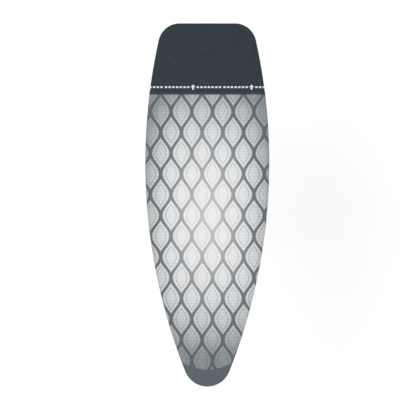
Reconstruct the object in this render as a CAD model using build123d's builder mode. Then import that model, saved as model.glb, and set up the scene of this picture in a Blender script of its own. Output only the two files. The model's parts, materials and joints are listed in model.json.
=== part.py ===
from build123d import *
import os
from math import asin, atan2, cos, degrees, hypot, pi, radians, sin, sqrt

# Folding ironing board, in millimetres, standing at its highest setting.
# +X is across the board, +Y runs to the square heel, -Y to the round nose and +Z is up.
# The origin is on the floor under the middle of the board.

# Board outline, seen from above
BOARD_LENGTH = 1350
BOARD_WIDTH = 461
HEEL_TO_WIDEST = 517
NOSE_RADIUS = 88
HEEL_CORNER_RADIUS = 80

# Ironing surface, from the cover down to the rim
IRONING_HEIGHT = 950
COVER_THICKNESS = 1.2
COVER_TOP_RADIUS = 9
HEM_FOLD_RADIUS = 5
HEM_WIDTH = 40
HEAT_ZONE_LENGTH = 265
BINDING_DIAMETER = 9
BINDING_WALL = 1.2
ELASTIC_DIAMETER = 6
FOAM_THICKNESS = 5
FELT_THICKNESS = 4
PANEL_THICKNESS = 1.2
PANEL_INSET = 4
MESH_PITCH_ACROSS = 48
MESH_PITCH_ALONG = 72
MESH_STRAND = 6

# Frame under the surface
RIM_WIDTH = 16
RIM_HEIGHT = 18
RIM_WALL = 1.2
RIM_CORNER_RADIUS = 4
DRAIN_HOLE_DIAMETER = 5
BRACE_WIDTH = 24
BRACE_WALL = 1.2
BRACE_CORNER_RADIUS = 3
SHEET_BEND_RADIUS = 2.8
RAIL_SHEET = 1.5
RAIL_FLANGE = 16
RAIL_BELOW_SLOT = 6.8
RAIL_HEM_ROOM = 12
BRACKET_SHEET = 2
HINGE_HEM_ROOM = 13
RIVET_DIAMETER = 4.8
RIVET_HEAD_DIAMETER = 9
RIVET_HEAD_HEIGHT = 1.2
RIVET_BULB_DIAMETER = 6.4
RIVET_BULB_HEIGHT = 3
RIVET_SPACING = 12

# Scissor legs
HINGE_FROM_HEEL = 210
SLIDER_PARK_FROM_NOSE = 220
FOOT_PARK_FROM_NOSE = 40
FOLD_ROOM = 2.2
LEG_TUBE_DIAMETER = 22
LEG_TUBE_WALL = 1.2
LEG_SIDE_GAP = 10
LEG_OVERRUN = 14
PLUG_CAP = 3
PLUG_DEPTH = 8
FOOT_BAR_DIAMETER = 25
FOOT_BAR_WALL = 1.2
FOOT_CAP_WALL = 4.5
FOOT_CAP_GRIP = 40
FOOT_CAP_END = 8
FOOT_CAP_SETBACK = 6
FOOT_CAP_ROUND = 5
SOLE_FLAT_DEPTH = 1.5
CROSSBAR_DIAMETER = 16
CROSSBAR_WALL = 1.2
CROSSBAR_PAST_HINGE = 28
HINGE_PIN_DIAMETER = 8
EAR_SIDE_GAP = 0.5
EAR_MARGIN = 8
PIN_HEAD_DIAMETER = 13
PIN_HEAD_HEIGHT = 3
PIVOT_BOLT_DIAMETER = 8
PIVOT_HEAD_DIAMETER = 17
PIVOT_HEAD_HEIGHT = 5
PIVOT_HEAD_ROUND = 4
PIVOT_NUT_ACROSS_CORNERS = 15
PIVOT_NUT_HEIGHT = 6.5
PIVOT_BOLT_PROUD = 2
PIVOT_SPACER_DIAMETER = 18

# Slider and height lock
SLIDE_ROD_DIAMETER = 12
ROD_CAP_DIAMETER = 18
ROD_CAP_HEIGHT = 3.2
BUSH_DIAMETER = 16
BUSH_FLANGE_DIAMETER = 24
BUSH_FLANGE_WIDTH = 3
BUSH_END_GAP = 0.5
SLOT_CLEARANCE = 0.2
TRAVEL_ROOM = 12
LOCK_BAR_DIAMETER = 10
LOCK_BAR_DROP = 10.6
LOCK_BAR_CLEARANCE = 0.3
LOCK_TAB_WIDTH = 30
LOCK_TAB_MARGIN = 9
CARRIAGE_HALF_WIDTH = 28
CARRIAGE_CHEEK = 6
CARRIAGE_BLOCK_HALF = 12
CARRIAGE_BAY = 28
CARRIAGE_NOSE_WALL = 6
CARRIAGE_BELOW_ROD = 11
CARRIAGE_ABOVE_BAR = 9
CARRIAGE_ROUND = 3
CARRIAGE_RIM_ROUND = 1.5
LEVER_TILT = 8
LEVER_PIN_DIAMETER = 6
LEVER_PIN_FROM_BLOCK = 12
LEVER_PIN_BELOW_ROD = 2
LEVER_PIN_HEAD_DIAMETER = 10
LEVER_PIN_HEAD_HEIGHT = 2
LEVER_PLATE_THICKNESS = 4
LEVER_PLATE_WIDTH = 28
LEVER_PLATE_MARGIN = 9
LEVER_PLATE_ROUND = 5
LEVER_BAR_CLEARANCE = 0.6
LEVER_BARREL_DIAMETER = 13
LEVER_SIDE_GAP = 0.5
LEVER_STEM_WIDTH = 18
LEVER_DROP = 44
GRIP_LENGTH = 150
GRIP_HEIGHT = 20
GRIP_DEPTH = 18
GRIP_ROUND = 6
GRIP_POCKET = 12
SPRING_WIRE = 1.4
SPRING_MEAN_RADIUS = 7.2
SPRING_TURNS = 5
SPRING_ARCS_PER_TURN = 4
SPRING_POINTS_PER_TURN = 48
SPRING_SEAT_GAP = 0.3
SPRING_LEAST_GAP = 0.4

# Transport hook
HOOK_PIVOT_DROP = 11
HOOK_PIN_DIAMETER = 6
HOOK_HUB_DIAMETER = 14
HOOK_THICKNESS = 8
HOOK_BAND = 8
HOOK_EDGE_ROUND = 1
HOOK_CLEARANCE = 0.6
HOOK_SWING = 90
HOOK_ARM_LEAD = 40
HOOK_TIP_PAST = 20
HOOK_EAR_GAP = 1
HOOK_PLATE_FLANGE = 15

# Fits
WELD_GAP = 0.05
PIN_FIT = 0.05
SOFT_GAP = 0.3
SIDES = (("left", -1), ("right", 1))

# Outline: a straight heel, two corner arcs, two long side arcs and the nose arc, each tangent to the next
heel_y = BOARD_LENGTH / 2
nose_y = -BOARD_LENGTH / 2
widest_y = heel_y - HEEL_TO_WIDEST
half_board = BOARD_WIDTH / 2
widest_to_nose = BOARD_LENGTH - HEEL_TO_WIDEST
side_radius = (half_board**2 + widest_to_nose**2 - 2 * widest_to_nose * NOSE_RADIUS) / (
    2 * (half_board - NOSE_RADIUS)
)
side_centre = Vector(half_board - side_radius, widest_y)
nose_centre = Vector(0, nose_y + NOSE_RADIUS)
corner_centre_y = heel_y - HEEL_CORNER_RADIUS
corner_reach = sqrt((side_radius - HEEL_CORNER_RADIUS) ** 2 - (corner_centre_y - widest_y) ** 2)
corner_centre = Vector(side_centre.X + corner_reach, corner_centre_y)
to_corner = (corner_centre - side_centre).normalized()
to_nose = (nose_centre - side_centre).normalized()


def outline(inset):
    """The board's outline, drawn in by inset all round."""
    radius = side_radius - inset
    heel_middle = Vector(0, heel_y - inset)
    heel_end = Vector(corner_centre.X, heel_y - inset)
    corner_end = side_centre + to_corner * radius
    side_end = side_centre + to_nose * radius
    nose_end = Vector(0, nose_y + inset)
    with BuildSketch() as drawn:
        with BuildLine():
            Line(heel_middle, heel_end)
            TangentArc(heel_end, corner_end, tangent=(1, 0))
            TangentArc(corner_end, side_end, tangent=(to_corner.Y, -to_corner.X))
            TangentArc(side_end, nose_end, tangent=(to_nose.Y, -to_nose.X))
            mirror(about=Plane.YZ)
        make_face()
    return drawn.sketch


def half_width(y, inset):
    """Half the width of the outline at y, drawn in by inset."""
    radius = side_radius - inset
    if y > side_centre.Y + to_corner.Y * radius:
        corner = HEEL_CORNER_RADIUS - inset
        return corner_centre.X + sqrt(max(corner**2 - (y - corner_centre.Y) ** 2, 0))
    if y < side_centre.Y + to_nose.Y * radius:
        return sqrt(max((NOSE_RADIUS - inset) ** 2 - (y - nose_centre.Y) ** 2, 0))
    return side_centre.X + sqrt(radius**2 - (y - side_centre.Y) ** 2)


def rounded_slab(inset, bottom, top, top_radius, bottom_radius):
    """A slab of the board's outline with rounded top and bottom edges."""
    with BuildPart() as slab:
        with BuildSketch(Plane.XY.offset(bottom)):
            add(outline(inset))
        extrude(amount=top - bottom)
        fillet(slab.edges().group_by(Axis.Z)[-1], top_radius)
        fillet(slab.edges().group_by(Axis.Z)[0], bottom_radius)
    return slab.part


def side_plane(x, y, z):
    """A plane square to X, with its own x along +Y and its own y along +Z."""
    return Plane((x, y, z), x_dir=(0, 1, 0), z_dir=(1, 0, 0))


# Heights
pad_top = IRONING_HEIGHT - COVER_THICKNESS
felt_bottom = pad_top - FOAM_THICKNESS - FELT_THICKNESS
rim_top = felt_bottom - PANEL_THICKNESS
rim_bottom = rim_top - RIM_HEIGHT
hem_bottom = rim_bottom - SOFT_GAP - COVER_THICKNESS
binding_z = hem_bottom - SOFT_GAP - BINDING_DIAMETER / 2
binding_bottom = binding_z - BINDING_DIAMETER / 2
foot_cap_radius = FOOT_BAR_DIAMETER / 2 + PIN_FIT + FOOT_CAP_WALL
hinge_z = binding_bottom - FOLD_ROOM - foot_cap_radius
foot_z = foot_cap_radius - SOLE_FLAT_DEPTH
plate_bottom = rim_bottom - BRACKET_SHEET
lock_bar_z = rim_bottom - LOCK_BAR_DROP

# Insets from the outline
pad_inset = COVER_THICKNESS + SOFT_GAP
rim_inner_inset = pad_inset + RIM_WIDTH
hem_clear_inset = HEM_WIDTH + BINDING_DIAMETER / 2

# Scissor: both legs have the same upper length, so the slider runs straight along the board
hinge_y = heel_y - HINGE_FROM_HEEL
leg_length = BOARD_LENGTH - HINGE_FROM_HEEL - FOOT_PARK_FROM_NOSE
upper_leg = (BOARD_LENGTH - HINGE_FROM_HEEL - SLIDER_PARK_FROM_NOSE) / 2
leg_angle = asin((hinge_z - foot_z) / leg_length)
outer_direction = Vector(0, -cos(leg_angle), -sin(leg_angle))
inner_direction = Vector(0, cos(leg_angle), -sin(leg_angle))
slider_y = hinge_y - 2 * upper_leg * cos(leg_angle)
slider_folded_y = hinge_y - 2 * upper_leg
hinge_point = Vector(0, hinge_y, hinge_z)
slider_point = Vector(0, slider_y, hinge_z)
pivot_point = hinge_point + outer_direction * upper_leg
outer_foot = hinge_point + outer_direction * leg_length
inner_foot = slider_point + inner_direction * leg_length
crossbar_from_top = 2 * upper_leg + CROSSBAR_PAST_HINGE
crossbar_point = slider_point + inner_direction * crossbar_from_top

# Places across the board
leg_tube_radius = LEG_TUBE_DIAMETER / 2
ear_inner = leg_tube_radius + EAR_SIDE_GAP
ear_outer = ear_inner + BRACKET_SHEET
outer_leg_x = half_width(hinge_y, hem_clear_inset) - HINGE_HEM_ROOM - ear_outer
inner_leg_x = outer_leg_x - LEG_TUBE_DIAMETER - LEG_SIDE_GAP
inner_leg_inside = inner_leg_x - leg_tube_radius
inner_leg_outside = inner_leg_x + leg_tube_radius
foot_bar_half = outer_leg_x + leg_tube_radius + FOOT_CAP_SETBACK + FOOT_CAP_GRIP

# Places along the board: the braces stand clear of both ends of the slider's travel
carriage_nose_reach = CARRIAGE_BLOCK_HALF + CARRIAGE_BAY + CARRIAGE_NOSE_WALL
mid_brace_y = slider_y + CARRIAGE_BLOCK_HALF + TRAVEL_ROOM + BRACE_WIDTH / 2
nose_brace_y = slider_folded_y - carriage_nose_reach - TRAVEL_ROOM - BRACE_WIDTH / 2
rail_heel_y = mid_brace_y + BRACE_WIDTH / 2
rail_nose_y = nose_brace_y - BRACE_WIDTH / 2
rail_web_x = half_width(rail_nose_y, hem_clear_inset) - RAIL_HEM_ROOM
rail_rivet_x = rail_web_x - RAIL_SHEET - (RAIL_FLANGE - RAIL_SHEET) / 2

# Rivet places
bracket_rivet_points = []
for side, sign in SIDES:
    for shift in (-RIVET_SPACING / 2, RIVET_SPACING / 2):
        bracket_rivet_points.append((sign * outer_leg_x + shift, hinge_y))
hook_ear_outer = HOOK_THICKNESS / 2 + HOOK_EAR_GAP + BRACKET_SHEET
hook_rivet_x = hook_ear_outer + HOOK_PLATE_FLANGE / 2
lock_rivet_x = LOCK_TAB_WIDTH / 2 - RIVET_HEAD_DIAMETER / 2 - BRACKET_SHEET
for side, sign in SIDES:
    bracket_rivet_points.append((sign * hook_rivet_x, hinge_y))
    bracket_rivet_points.append((sign * lock_rivet_x, mid_brace_y))
    bracket_rivet_points.append((sign * lock_rivet_x, nose_brace_y))
rail_rivet_points = []
for side, sign in SIDES:
    for brace_y in (mid_brace_y, nose_brace_y):
        for shift in (-RIVET_SPACING / 2, RIVET_SPACING / 2):
            rail_rivet_points.append((sign * rail_rivet_x, brace_y + shift))
rivet_hole_radius = RIVET_DIAMETER / 2 + PIN_FIT

os.makedirs("parts", exist_ok=True)

# Rim: a rounded box tube bent round the outline, hollow, with drain holes under the heel and the nose
rim_edge_fillet = RIM_CORNER_RADIUS - RIM_WALL
drain_inset = pad_inset + RIM_WIDTH / 2
with BuildPart() as rim_bore:
    with BuildSketch(Plane.XY.offset(rim_bottom + RIM_WALL)):
        add(outline(pad_inset + RIM_WALL))
        add(outline(rim_inner_inset - RIM_WALL), mode=Mode.SUBTRACT)
    extrude(amount=RIM_HEIGHT - 2 * RIM_WALL)
    fillet(rim_bore.edges().group_by(Axis.Z)[-1], rim_edge_fillet)
    fillet(rim_bore.edges().group_by(Axis.Z)[0], rim_edge_fillet)
with BuildPart() as rim_tube:
    with BuildSketch(Plane.XY.offset(rim_bottom)):
        add(outline(pad_inset))
        add(outline(rim_inner_inset), mode=Mode.SUBTRACT)
    extrude(amount=RIM_HEIGHT)
    fillet(rim_tube.edges().group_by(Axis.Z)[-1], RIM_CORNER_RADIUS)
    fillet(rim_tube.edges().group_by(Axis.Z)[0], RIM_CORNER_RADIUS)
    add(rim_bore.part, mode=Mode.SUBTRACT)
    with BuildSketch(Plane.XY.offset(rim_bottom)):
        with Locations((0, heel_y - drain_inset), (0, nose_y + drain_inset)):
            Circle(DRAIN_HOLE_DIAMETER / 2)
    extrude(amount=RIM_HEIGHT / 2, mode=Mode.SUBTRACT)
rim_tube.part.label = "rim_tube"
export_step(rim_tube.part, "parts/rim_tube.step")

# Mesh panel: one sheet with staggered diamond openings, plain where it lies on the rim
half_across = MESH_PITCH_ACROSS / 2
half_along = MESH_PITCH_ALONG / 2
strand_line = half_across * half_along / hypot(half_across, half_along)
diamond_share = 1 - MESH_STRAND / 2 / strand_line
diamond_x = half_across * diamond_share
diamond_y = half_along * diamond_share
mesh_inset = rim_inner_inset + MESH_STRAND
mesh_points = []
row_count = int((BOARD_LENGTH / 2 - mesh_inset - diamond_y) / half_along)
for row in range(-row_count, row_count + 1):
    row_y = row * half_along
    column_shift = half_across * (row % 2)
    room = half_width(row_y, mesh_inset) - diamond_x
    reach = int(room / MESH_PITCH_ACROSS) + 1
    for column in range(-reach, reach + 1):
        hole_x = column * MESH_PITCH_ACROSS + column_shift
        if abs(hole_x) < room:
            mesh_points.append((hole_x, row_y))
with BuildPart() as mesh_panel:
    with BuildSketch(Plane.XY.offset(rim_top)):
        add(outline(PANEL_INSET))
        with Locations(mesh_points):
            Polygon((diamond_x, 0), (0, diamond_y), (-diamond_x, 0), (0, -diamond_y), mode=Mode.SUBTRACT)
    extrude(amount=PANEL_THICKNESS)
mesh_panel.part.label = "mesh_panel"
export_step(mesh_panel.part, "parts/mesh_panel.step")
print("mesh openings:", len(mesh_points))

# Braces: box tubes across the frame, shaped to the inside of the rim
for name, brace_y in (("heel_brace", hinge_y), ("mid_brace", mid_brace_y), ("nose_brace", nose_brace_y)):
    with BuildPart() as brace:
        with BuildSketch(side_plane(0, brace_y, rim_bottom + RIM_HEIGHT / 2)):
            RectangleRounded(BRACE_WIDTH, RIM_HEIGHT, BRACE_CORNER_RADIUS)
            RectangleRounded(
                BRACE_WIDTH - 2 * BRACE_WALL,
                RIM_HEIGHT - 2 * BRACE_WALL,
                BRACE_CORNER_RADIUS - BRACE_WALL,
                mode=Mode.SUBTRACT,
            )
        extrude(amount=BOARD_WIDTH / 2, both=True)
        with BuildSketch(Plane.XY.offset(rim_bottom)):
            add(outline(rim_inner_inset + WELD_GAP))
        extrude(amount=RIM_HEIGHT, mode=Mode.INTERSECT)
        with BuildSketch(Plane.XY.offset(rim_bottom)):
            for x, y in bracket_rivet_points + rail_rivet_points:
                if abs(y - brace_y) < BRACE_WIDTH / 2:
                    with Locations((x, y)):
                        Circle(rivet_hole_radius)
        extrude(amount=BRACE_WALL, mode=Mode.SUBTRACT)
    brace.part.label = name
    export_step(brace.part, f"parts/{name}.step")

# Rails: slotted channels under the middle and nose braces, open side inward
rail_bottom = hinge_z - BUSH_DIAMETER / 2 - SLOT_CLEARANCE - RAIL_BELOW_SLOT
rail_height = rim_bottom - rail_bottom
slot_height = BUSH_DIAMETER + 2 * SLOT_CLEARANCE
slot_heel_y = slider_y + slot_height / 2
slot_nose_y = slider_folded_y - slot_height / 2
rail_length = rail_heel_y - rail_nose_y
rail_middle_y = (rail_heel_y + rail_nose_y) / 2
rail_middle_z = (rim_bottom + rail_bottom) / 2
for side, sign in SIDES:
    with BuildPart() as rail:
        with BuildSketch(side_plane(sign * rail_web_x, rail_middle_y, rail_middle_z)):
            Rectangle(rail_length, rail_height)
        extrude(amount=-sign * RAIL_FLANGE)
        with BuildSketch(side_plane(sign * (rail_web_x - RAIL_SHEET), rail_middle_y, rail_middle_z)):
            Rectangle(rail_length, rail_height - 2 * RAIL_SHEET)
        extrude(amount=-sign * RAIL_FLANGE, mode=Mode.SUBTRACT)
        edges_from_web = rail.edges().filter_by(Axis.Y).group_by(Axis.X)[::-sign]
        fillet(edges_from_web[1], SHEET_BEND_RADIUS - RAIL_SHEET)
        edges_from_web = rail.edges().filter_by(Axis.Y).group_by(Axis.X)[::-sign]
        fillet(edges_from_web[0], SHEET_BEND_RADIUS)
        with BuildSketch(side_plane(sign * rail_web_x, (slot_heel_y + slot_nose_y) / 2, hinge_z)):
            SlotOverall(slot_heel_y - slot_nose_y, slot_height)
        extrude(amount=RAIL_SHEET, both=True, mode=Mode.SUBTRACT)
        with BuildSketch(Plane.XY.offset(rim_bottom)):
            for x, y in rail_rivet_points:
                if x * sign > 0:
                    with Locations((x, y)):
                        Circle(rivet_hole_radius)
        extrude(amount=-RAIL_SHEET, mode=Mode.SUBTRACT)
    rail.part.label = f"rail_{side}"
    export_step(rail.part, f"parts/rail_{side}.step")


def blind_rivets(points, sheet):
    """Blind rivets through a sheet of this thickness and the brace wall above it."""
    seat = rim_bottom - sheet
    grip = sheet + BRACE_WALL
    with BuildPart() as rivets:
        with BuildSketch(Plane.XY.offset(seat)):
            with Locations(points):
                Circle(RIVET_HEAD_DIAMETER / 2)
        extrude(amount=-RIVET_HEAD_HEIGHT)
        fillet(rivets.edges().group_by(Axis.Z)[0], RIVET_HEAD_HEIGHT / 2)
        with BuildSketch(Plane.XY.offset(seat)):
            with Locations(points):
                Circle(RIVET_DIAMETER / 2)
        extrude(amount=grip)
        with BuildSketch(Plane.XY.offset(seat + grip)):
            with Locations(points):
                Circle(RIVET_BULB_DIAMETER / 2)
        extrude(amount=RIVET_BULB_HEIGHT)
    return rivets.part


for name, points, sheet in (
    ("rail_rivets", rail_rivet_points, RAIL_SHEET),
    ("bracket_rivets", bracket_rivet_points, BRACKET_SHEET),
):
    with BuildPart() as rivet_group:
        add(blind_rivets(points, sheet))
    rivet_group.part.label = name
    export_step(rivet_group.part, f"parts/{name}.step")

# Lock bar with peened ends, and the two bent brackets that hold it under the braces
lock_tab_bottom = lock_bar_z - LOCK_BAR_DIAMETER / 2 - LOCK_TAB_MARGIN / 2
lock_hole_radius = LOCK_BAR_DIAMETER / 2 + PIN_FIT
bracket_inside_bend = SHEET_BEND_RADIUS - BRACKET_SHEET
with BuildPart() as lock_bar:
    with BuildSketch(Plane((0, rail_heel_y, lock_bar_z), x_dir=(1, 0, 0), z_dir=(0, -1, 0))):
        Circle(LOCK_BAR_DIAMETER / 2)
    extrude(amount=rail_heel_y - rail_nose_y)
    for end_y, way in ((rail_heel_y, 1), (rail_nose_y, -1)):
        with BuildSketch(Plane((0, end_y, lock_bar_z), x_dir=(1, 0, 0), z_dir=(0, way, 0))):
            Circle(PIN_HEAD_DIAMETER / 2)
        extrude(amount=PIN_HEAD_HEIGHT)
    lock_bar_ends = lock_bar.edges().filter_by(GeomType.CIRCLE).sort_by(Axis.Y)
    fillet([lock_bar_ends[0], lock_bar_ends[-1]], PIN_HEAD_HEIGHT / 2)
lock_bar.part.label = "lock_bar"
export_step(lock_bar.part, "parts/lock_bar.step")

for name, brace_y, tab_y, way in (
    ("lock_bracket_heel", mid_brace_y, rail_heel_y, -1),
    ("lock_bracket_nose", nose_brace_y, rail_nose_y, 1),
):
    with BuildPart() as lock_bracket:
        with BuildSketch(Plane.XY.offset(plate_bottom)):
            with Locations((0, brace_y)):
                Rectangle(LOCK_TAB_WIDTH, BRACE_WIDTH)
            for x, y in bracket_rivet_points:
                if abs(y - brace_y) < BRACE_WIDTH / 2:
                    with Locations((x, y)):
                        Circle(rivet_hole_radius, mode=Mode.SUBTRACT)
        extrude(amount=BRACKET_SHEET)
        with BuildSketch(Plane((0, tab_y, rim_bottom), x_dir=(1, 0, 0), z_dir=(0, -1, 0))):
            Rectangle(LOCK_TAB_WIDTH, rim_bottom - lock_tab_bottom, align=(Align.CENTER, Align.MAX))
            with Locations((0, lock_bar_z - rim_bottom)):
                Circle(lock_hole_radius, mode=Mode.SUBTRACT)
        extrude(amount=-way * BRACKET_SHEET)
        inside_bend = (0, tab_y + way * BRACKET_SHEET, plate_bottom)
        fillet(lock_bracket.edges().filter_by(Axis.X).sort_by_distance(inside_bend)[0], bracket_inside_bend)
        outside_bend = (0, tab_y, rim_bottom)
        fillet(lock_bracket.edges().filter_by(Axis.X).sort_by_distance(outside_bend)[0], SHEET_BEND_RADIUS)
    lock_bracket.part.label = name
    export_step(lock_bracket.part, f"parts/{name}.step")

# Hinge brackets: a plate under the heel brace with two ears round each outer leg, and a headed pin
ear_radius = HINGE_PIN_DIAMETER / 2 + EAR_MARGIN
for side, sign in SIDES:
    with BuildPart() as hinge_bracket:
        with BuildSketch(Plane.XY.offset(plate_bottom)):
            with Locations((sign * outer_leg_x, hinge_y)):
                Rectangle(2 * ear_outer, 2 * ear_radius)
            for x, y in bracket_rivet_points:
                if abs(x - sign * outer_leg_x) < ear_inner:
                    with Locations((x, y)):
                        Circle(rivet_hole_radius, mode=Mode.SUBTRACT)
        extrude(amount=BRACKET_SHEET)
        for ear_x in (sign * outer_leg_x - ear_outer, sign * outer_leg_x + ear_inner):
            with BuildSketch(side_plane(ear_x, hinge_y, hinge_z)):
                Rectangle(2 * ear_radius, rim_bottom - hinge_z, align=(Align.CENTER, Align.MIN))
                Circle(ear_radius)
                Circle(HINGE_PIN_DIAMETER / 2 + PIN_FIT, mode=Mode.SUBTRACT)
            extrude(amount=BRACKET_SHEET)
        fillet(hinge_bracket.edges().filter_by(Axis.Y).group_by(Axis.Z)[-2], bracket_inside_bend)
        fillet(hinge_bracket.edges().filter_by(Axis.Y).group_by(Axis.Z)[-1], SHEET_BEND_RADIUS)
    hinge_bracket.part.label = f"hinge_bracket_{side}"
    export_step(hinge_bracket.part, f"parts/hinge_bracket_{side}.step")

    with BuildPart() as hinge_pin:
        with BuildSketch(side_plane(sign * outer_leg_x, hinge_y, hinge_z)):
            Circle(HINGE_PIN_DIAMETER / 2)
        extrude(amount=ear_outer, both=True)
        for way in (-1, 1):
            with BuildSketch(side_plane(sign * outer_leg_x + way * ear_outer, hinge_y, hinge_z)):
                Circle(PIN_HEAD_DIAMETER / 2)
            extrude(amount=way * PIN_HEAD_HEIGHT)
        pin_ends = hinge_pin.edges().filter_by(GeomType.CIRCLE).sort_by(Axis.X)
        fillet([pin_ends[0], pin_ends[-1]], PIN_HEAD_HEIGHT / 2)
    hinge_pin.part.label = f"hinge_pin_{side}"
    export_step(hinge_pin.part, f"parts/hinge_pin_{side}.step")

# Transport hook: it hangs from the heel brace and swings under the inner crossbar of the folded legs
hook_z = rim_bottom - HOOK_PIVOT_DROP
crossbar_angle = degrees(atan2(hinge_z - hook_z, CROSSBAR_PAST_HINGE))
crossbar_distance = hypot(hinge_z - hook_z, CROSSBAR_PAST_HINGE)
hook_radius = crossbar_distance + CROSSBAR_DIAMETER / 2 + HOOK_CLEARANCE + HOOK_BAND / 2
hook_arm_angle = crossbar_angle - HOOK_SWING - HOOK_ARM_LEAD
hook_arc_size = HOOK_ARM_LEAD + HOOK_TIP_PAST
hook_ear_inner = HOOK_THICKNESS / 2 + HOOK_EAR_GAP
hook_ear_radius = HOOK_PIN_DIAMETER / 2 + EAR_MARGIN / 2
with BuildPart() as hook_bracket:
    with BuildSketch(Plane.XY.offset(plate_bottom)):
        with Locations((0, hinge_y)):
            Rectangle(2 * (hook_ear_outer + HOOK_PLATE_FLANGE), BRACE_WIDTH)
        with Locations((-hook_rivet_x, hinge_y), (hook_rivet_x, hinge_y)):
            Circle(rivet_hole_radius, mode=Mode.SUBTRACT)
    extrude(amount=BRACKET_SHEET)
    for ear_x in (-hook_ear_outer, hook_ear_inner):
        with BuildSketch(side_plane(ear_x, hinge_y, hook_z)):
            Rectangle(2 * hook_ear_radius, rim_bottom - hook_z, align=(Align.CENTER, Align.MIN))
            Circle(hook_ear_radius)
            Circle(HOOK_PIN_DIAMETER / 2 + PIN_FIT, mode=Mode.SUBTRACT)
        extrude(amount=BRACKET_SHEET)
hook_bracket.part.label = "hook_bracket"
export_step(hook_bracket.part, "parts/hook_bracket.step")

with BuildPart() as hook_pin:
    with BuildSketch(side_plane(0, hinge_y, hook_z)):
        Circle(HOOK_PIN_DIAMETER / 2)
    extrude(amount=hook_ear_outer, both=True)
    for way in (-1, 1):
        with BuildSketch(side_plane(way * hook_ear_outer, hinge_y, hook_z)):
            Circle(LEVER_PIN_HEAD_DIAMETER / 2)
        extrude(amount=way * LEVER_PIN_HEAD_HEIGHT)
hook_pin.part.label = "hook_pin"
export_step(hook_pin.part, "parts/hook_pin.step")

with BuildLine() as hook_line:
    CenterArc((0, 0), hook_radius, hook_arm_angle, hook_arc_size)
with BuildPart() as transport_hook:
    with BuildSketch(side_plane(0, hinge_y, hook_z)):
        Circle(HOOK_HUB_DIAMETER / 2)
        with Locations(Location((0, 0, 0), (0, 0, hook_arm_angle))):
            with Locations((hook_radius / 2, 0)):
                SlotCenterToCenter(hook_radius, HOOK_BAND)
        SlotArc(hook_line.edges()[0], HOOK_BAND)
        Circle(HOOK_PIN_DIAMETER / 2 + PIN_FIT, mode=Mode.SUBTRACT)
    extrude(amount=HOOK_THICKNESS / 2, both=True)
    fillet(transport_hook.faces().filter_by(Axis.X).edges(), HOOK_EDGE_ROUND)
transport_hook.part.label = "transport_hook"
export_step(transport_hook.part, "parts/transport_hook.step")

# Padding: one rounded slab, felt below and foam above
pad_edge_radius = COVER_TOP_RADIUS - pad_inset
with BuildPart() as pad_stack:
    with BuildSketch(Plane.XY.offset(felt_bottom)):
        add(outline(pad_inset))
    extrude(amount=FELT_THICKNESS + FOAM_THICKNESS)
    fillet(pad_stack.edges().group_by(Axis.Z)[-1], pad_edge_radius)
for name, keep in (("felt_pad", Keep.BOTTOM), ("foam_pad", Keep.TOP)):
    with BuildPart() as pad:
        add(pad_stack.part)
        split(bisect_by=Plane.XY.offset(felt_bottom + FELT_THICKNESS), keep=keep)
    pad.part.label = name
    export_step(pad.part, f"parts/{name}.step")

# Cover: a thin skin over the pads and round the rim, hemmed under it, with the heat zone as its own panel
cover_cavity = rounded_slab(
    COVER_THICKNESS,
    hem_bottom + COVER_THICKNESS,
    pad_top,
    COVER_TOP_RADIUS - COVER_THICKNESS,
    HEM_FOLD_RADIUS - COVER_THICKNESS,
)
cover_skin = rounded_slab(0, hem_bottom, IRONING_HEIGHT, COVER_TOP_RADIUS, HEM_FOLD_RADIUS)
zone_seam = Plane((0, heel_y - HEAT_ZONE_LENGTH, 0), x_dir=(1, 0, 0), z_dir=(0, 1, 0))
for name, keep in (("cover_heat_zone", Keep.TOP), ("cover_main", Keep.BOTTOM)):
    with BuildPart() as cover:
        add(cover_skin)
        add(cover_cavity, mode=Mode.SUBTRACT)
        with BuildSketch(Plane.XY.offset(hem_bottom)):
            add(outline(HEM_WIDTH))
        extrude(amount=2 * COVER_THICKNESS, mode=Mode.SUBTRACT)
        split(bisect_by=zone_seam, keep=keep)
    cover.part.label = name
    export_step(cover.part, f"parts/{name}.step")

# Hem casing and the elastic inside it, both closed loops along the hem's inner edge
hem_edge = outline(HEM_WIDTH).wire().moved(Location((0, 0, binding_z)))
hem_section = Plane((0, heel_y - HEM_WIDTH, binding_z), x_dir=(0, 1, 0), z_dir=(1, 0, 0))
with BuildPart() as hem_binding:
    with BuildSketch(hem_section):
        Circle(BINDING_DIAMETER / 2)
        Circle(BINDING_DIAMETER / 2 - BINDING_WALL, mode=Mode.SUBTRACT)
    sweep(path=hem_edge)
hem_binding.part.label = "hem_binding"
export_step(hem_binding.part, "parts/hem_binding.step")

with BuildPart() as elastic_cord:
    with BuildSketch(hem_section):
        Circle(ELASTIC_DIAMETER / 2)
    sweep(path=hem_edge)
elastic_cord.part.label = "elastic_cord"
export_step(elastic_cord.part, "parts/elastic_cord.step")


def leg_tube(top, direction, cross_cuts):
    """A leg tube from just past its top pivot to its foot bar, with round cuts across it."""
    with BuildPart() as tube:
        with BuildSketch(Plane(top - direction * LEG_OVERRUN, x_dir=(1, 0, 0), z_dir=direction)):
            Circle(leg_tube_radius)
            Circle(leg_tube_radius - LEG_TUBE_WALL, mode=Mode.SUBTRACT)
        extrude(amount=LEG_OVERRUN + leg_length)
        for distance, cut_radius in cross_cuts:
            cut_at = top + direction * distance
            with BuildSketch(side_plane(cut_at.X, cut_at.Y, cut_at.Z)):
                Circle(cut_radius)
            extrude(amount=LEG_TUBE_DIAMETER, both=True, mode=Mode.SUBTRACT)
    return tube.part


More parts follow.
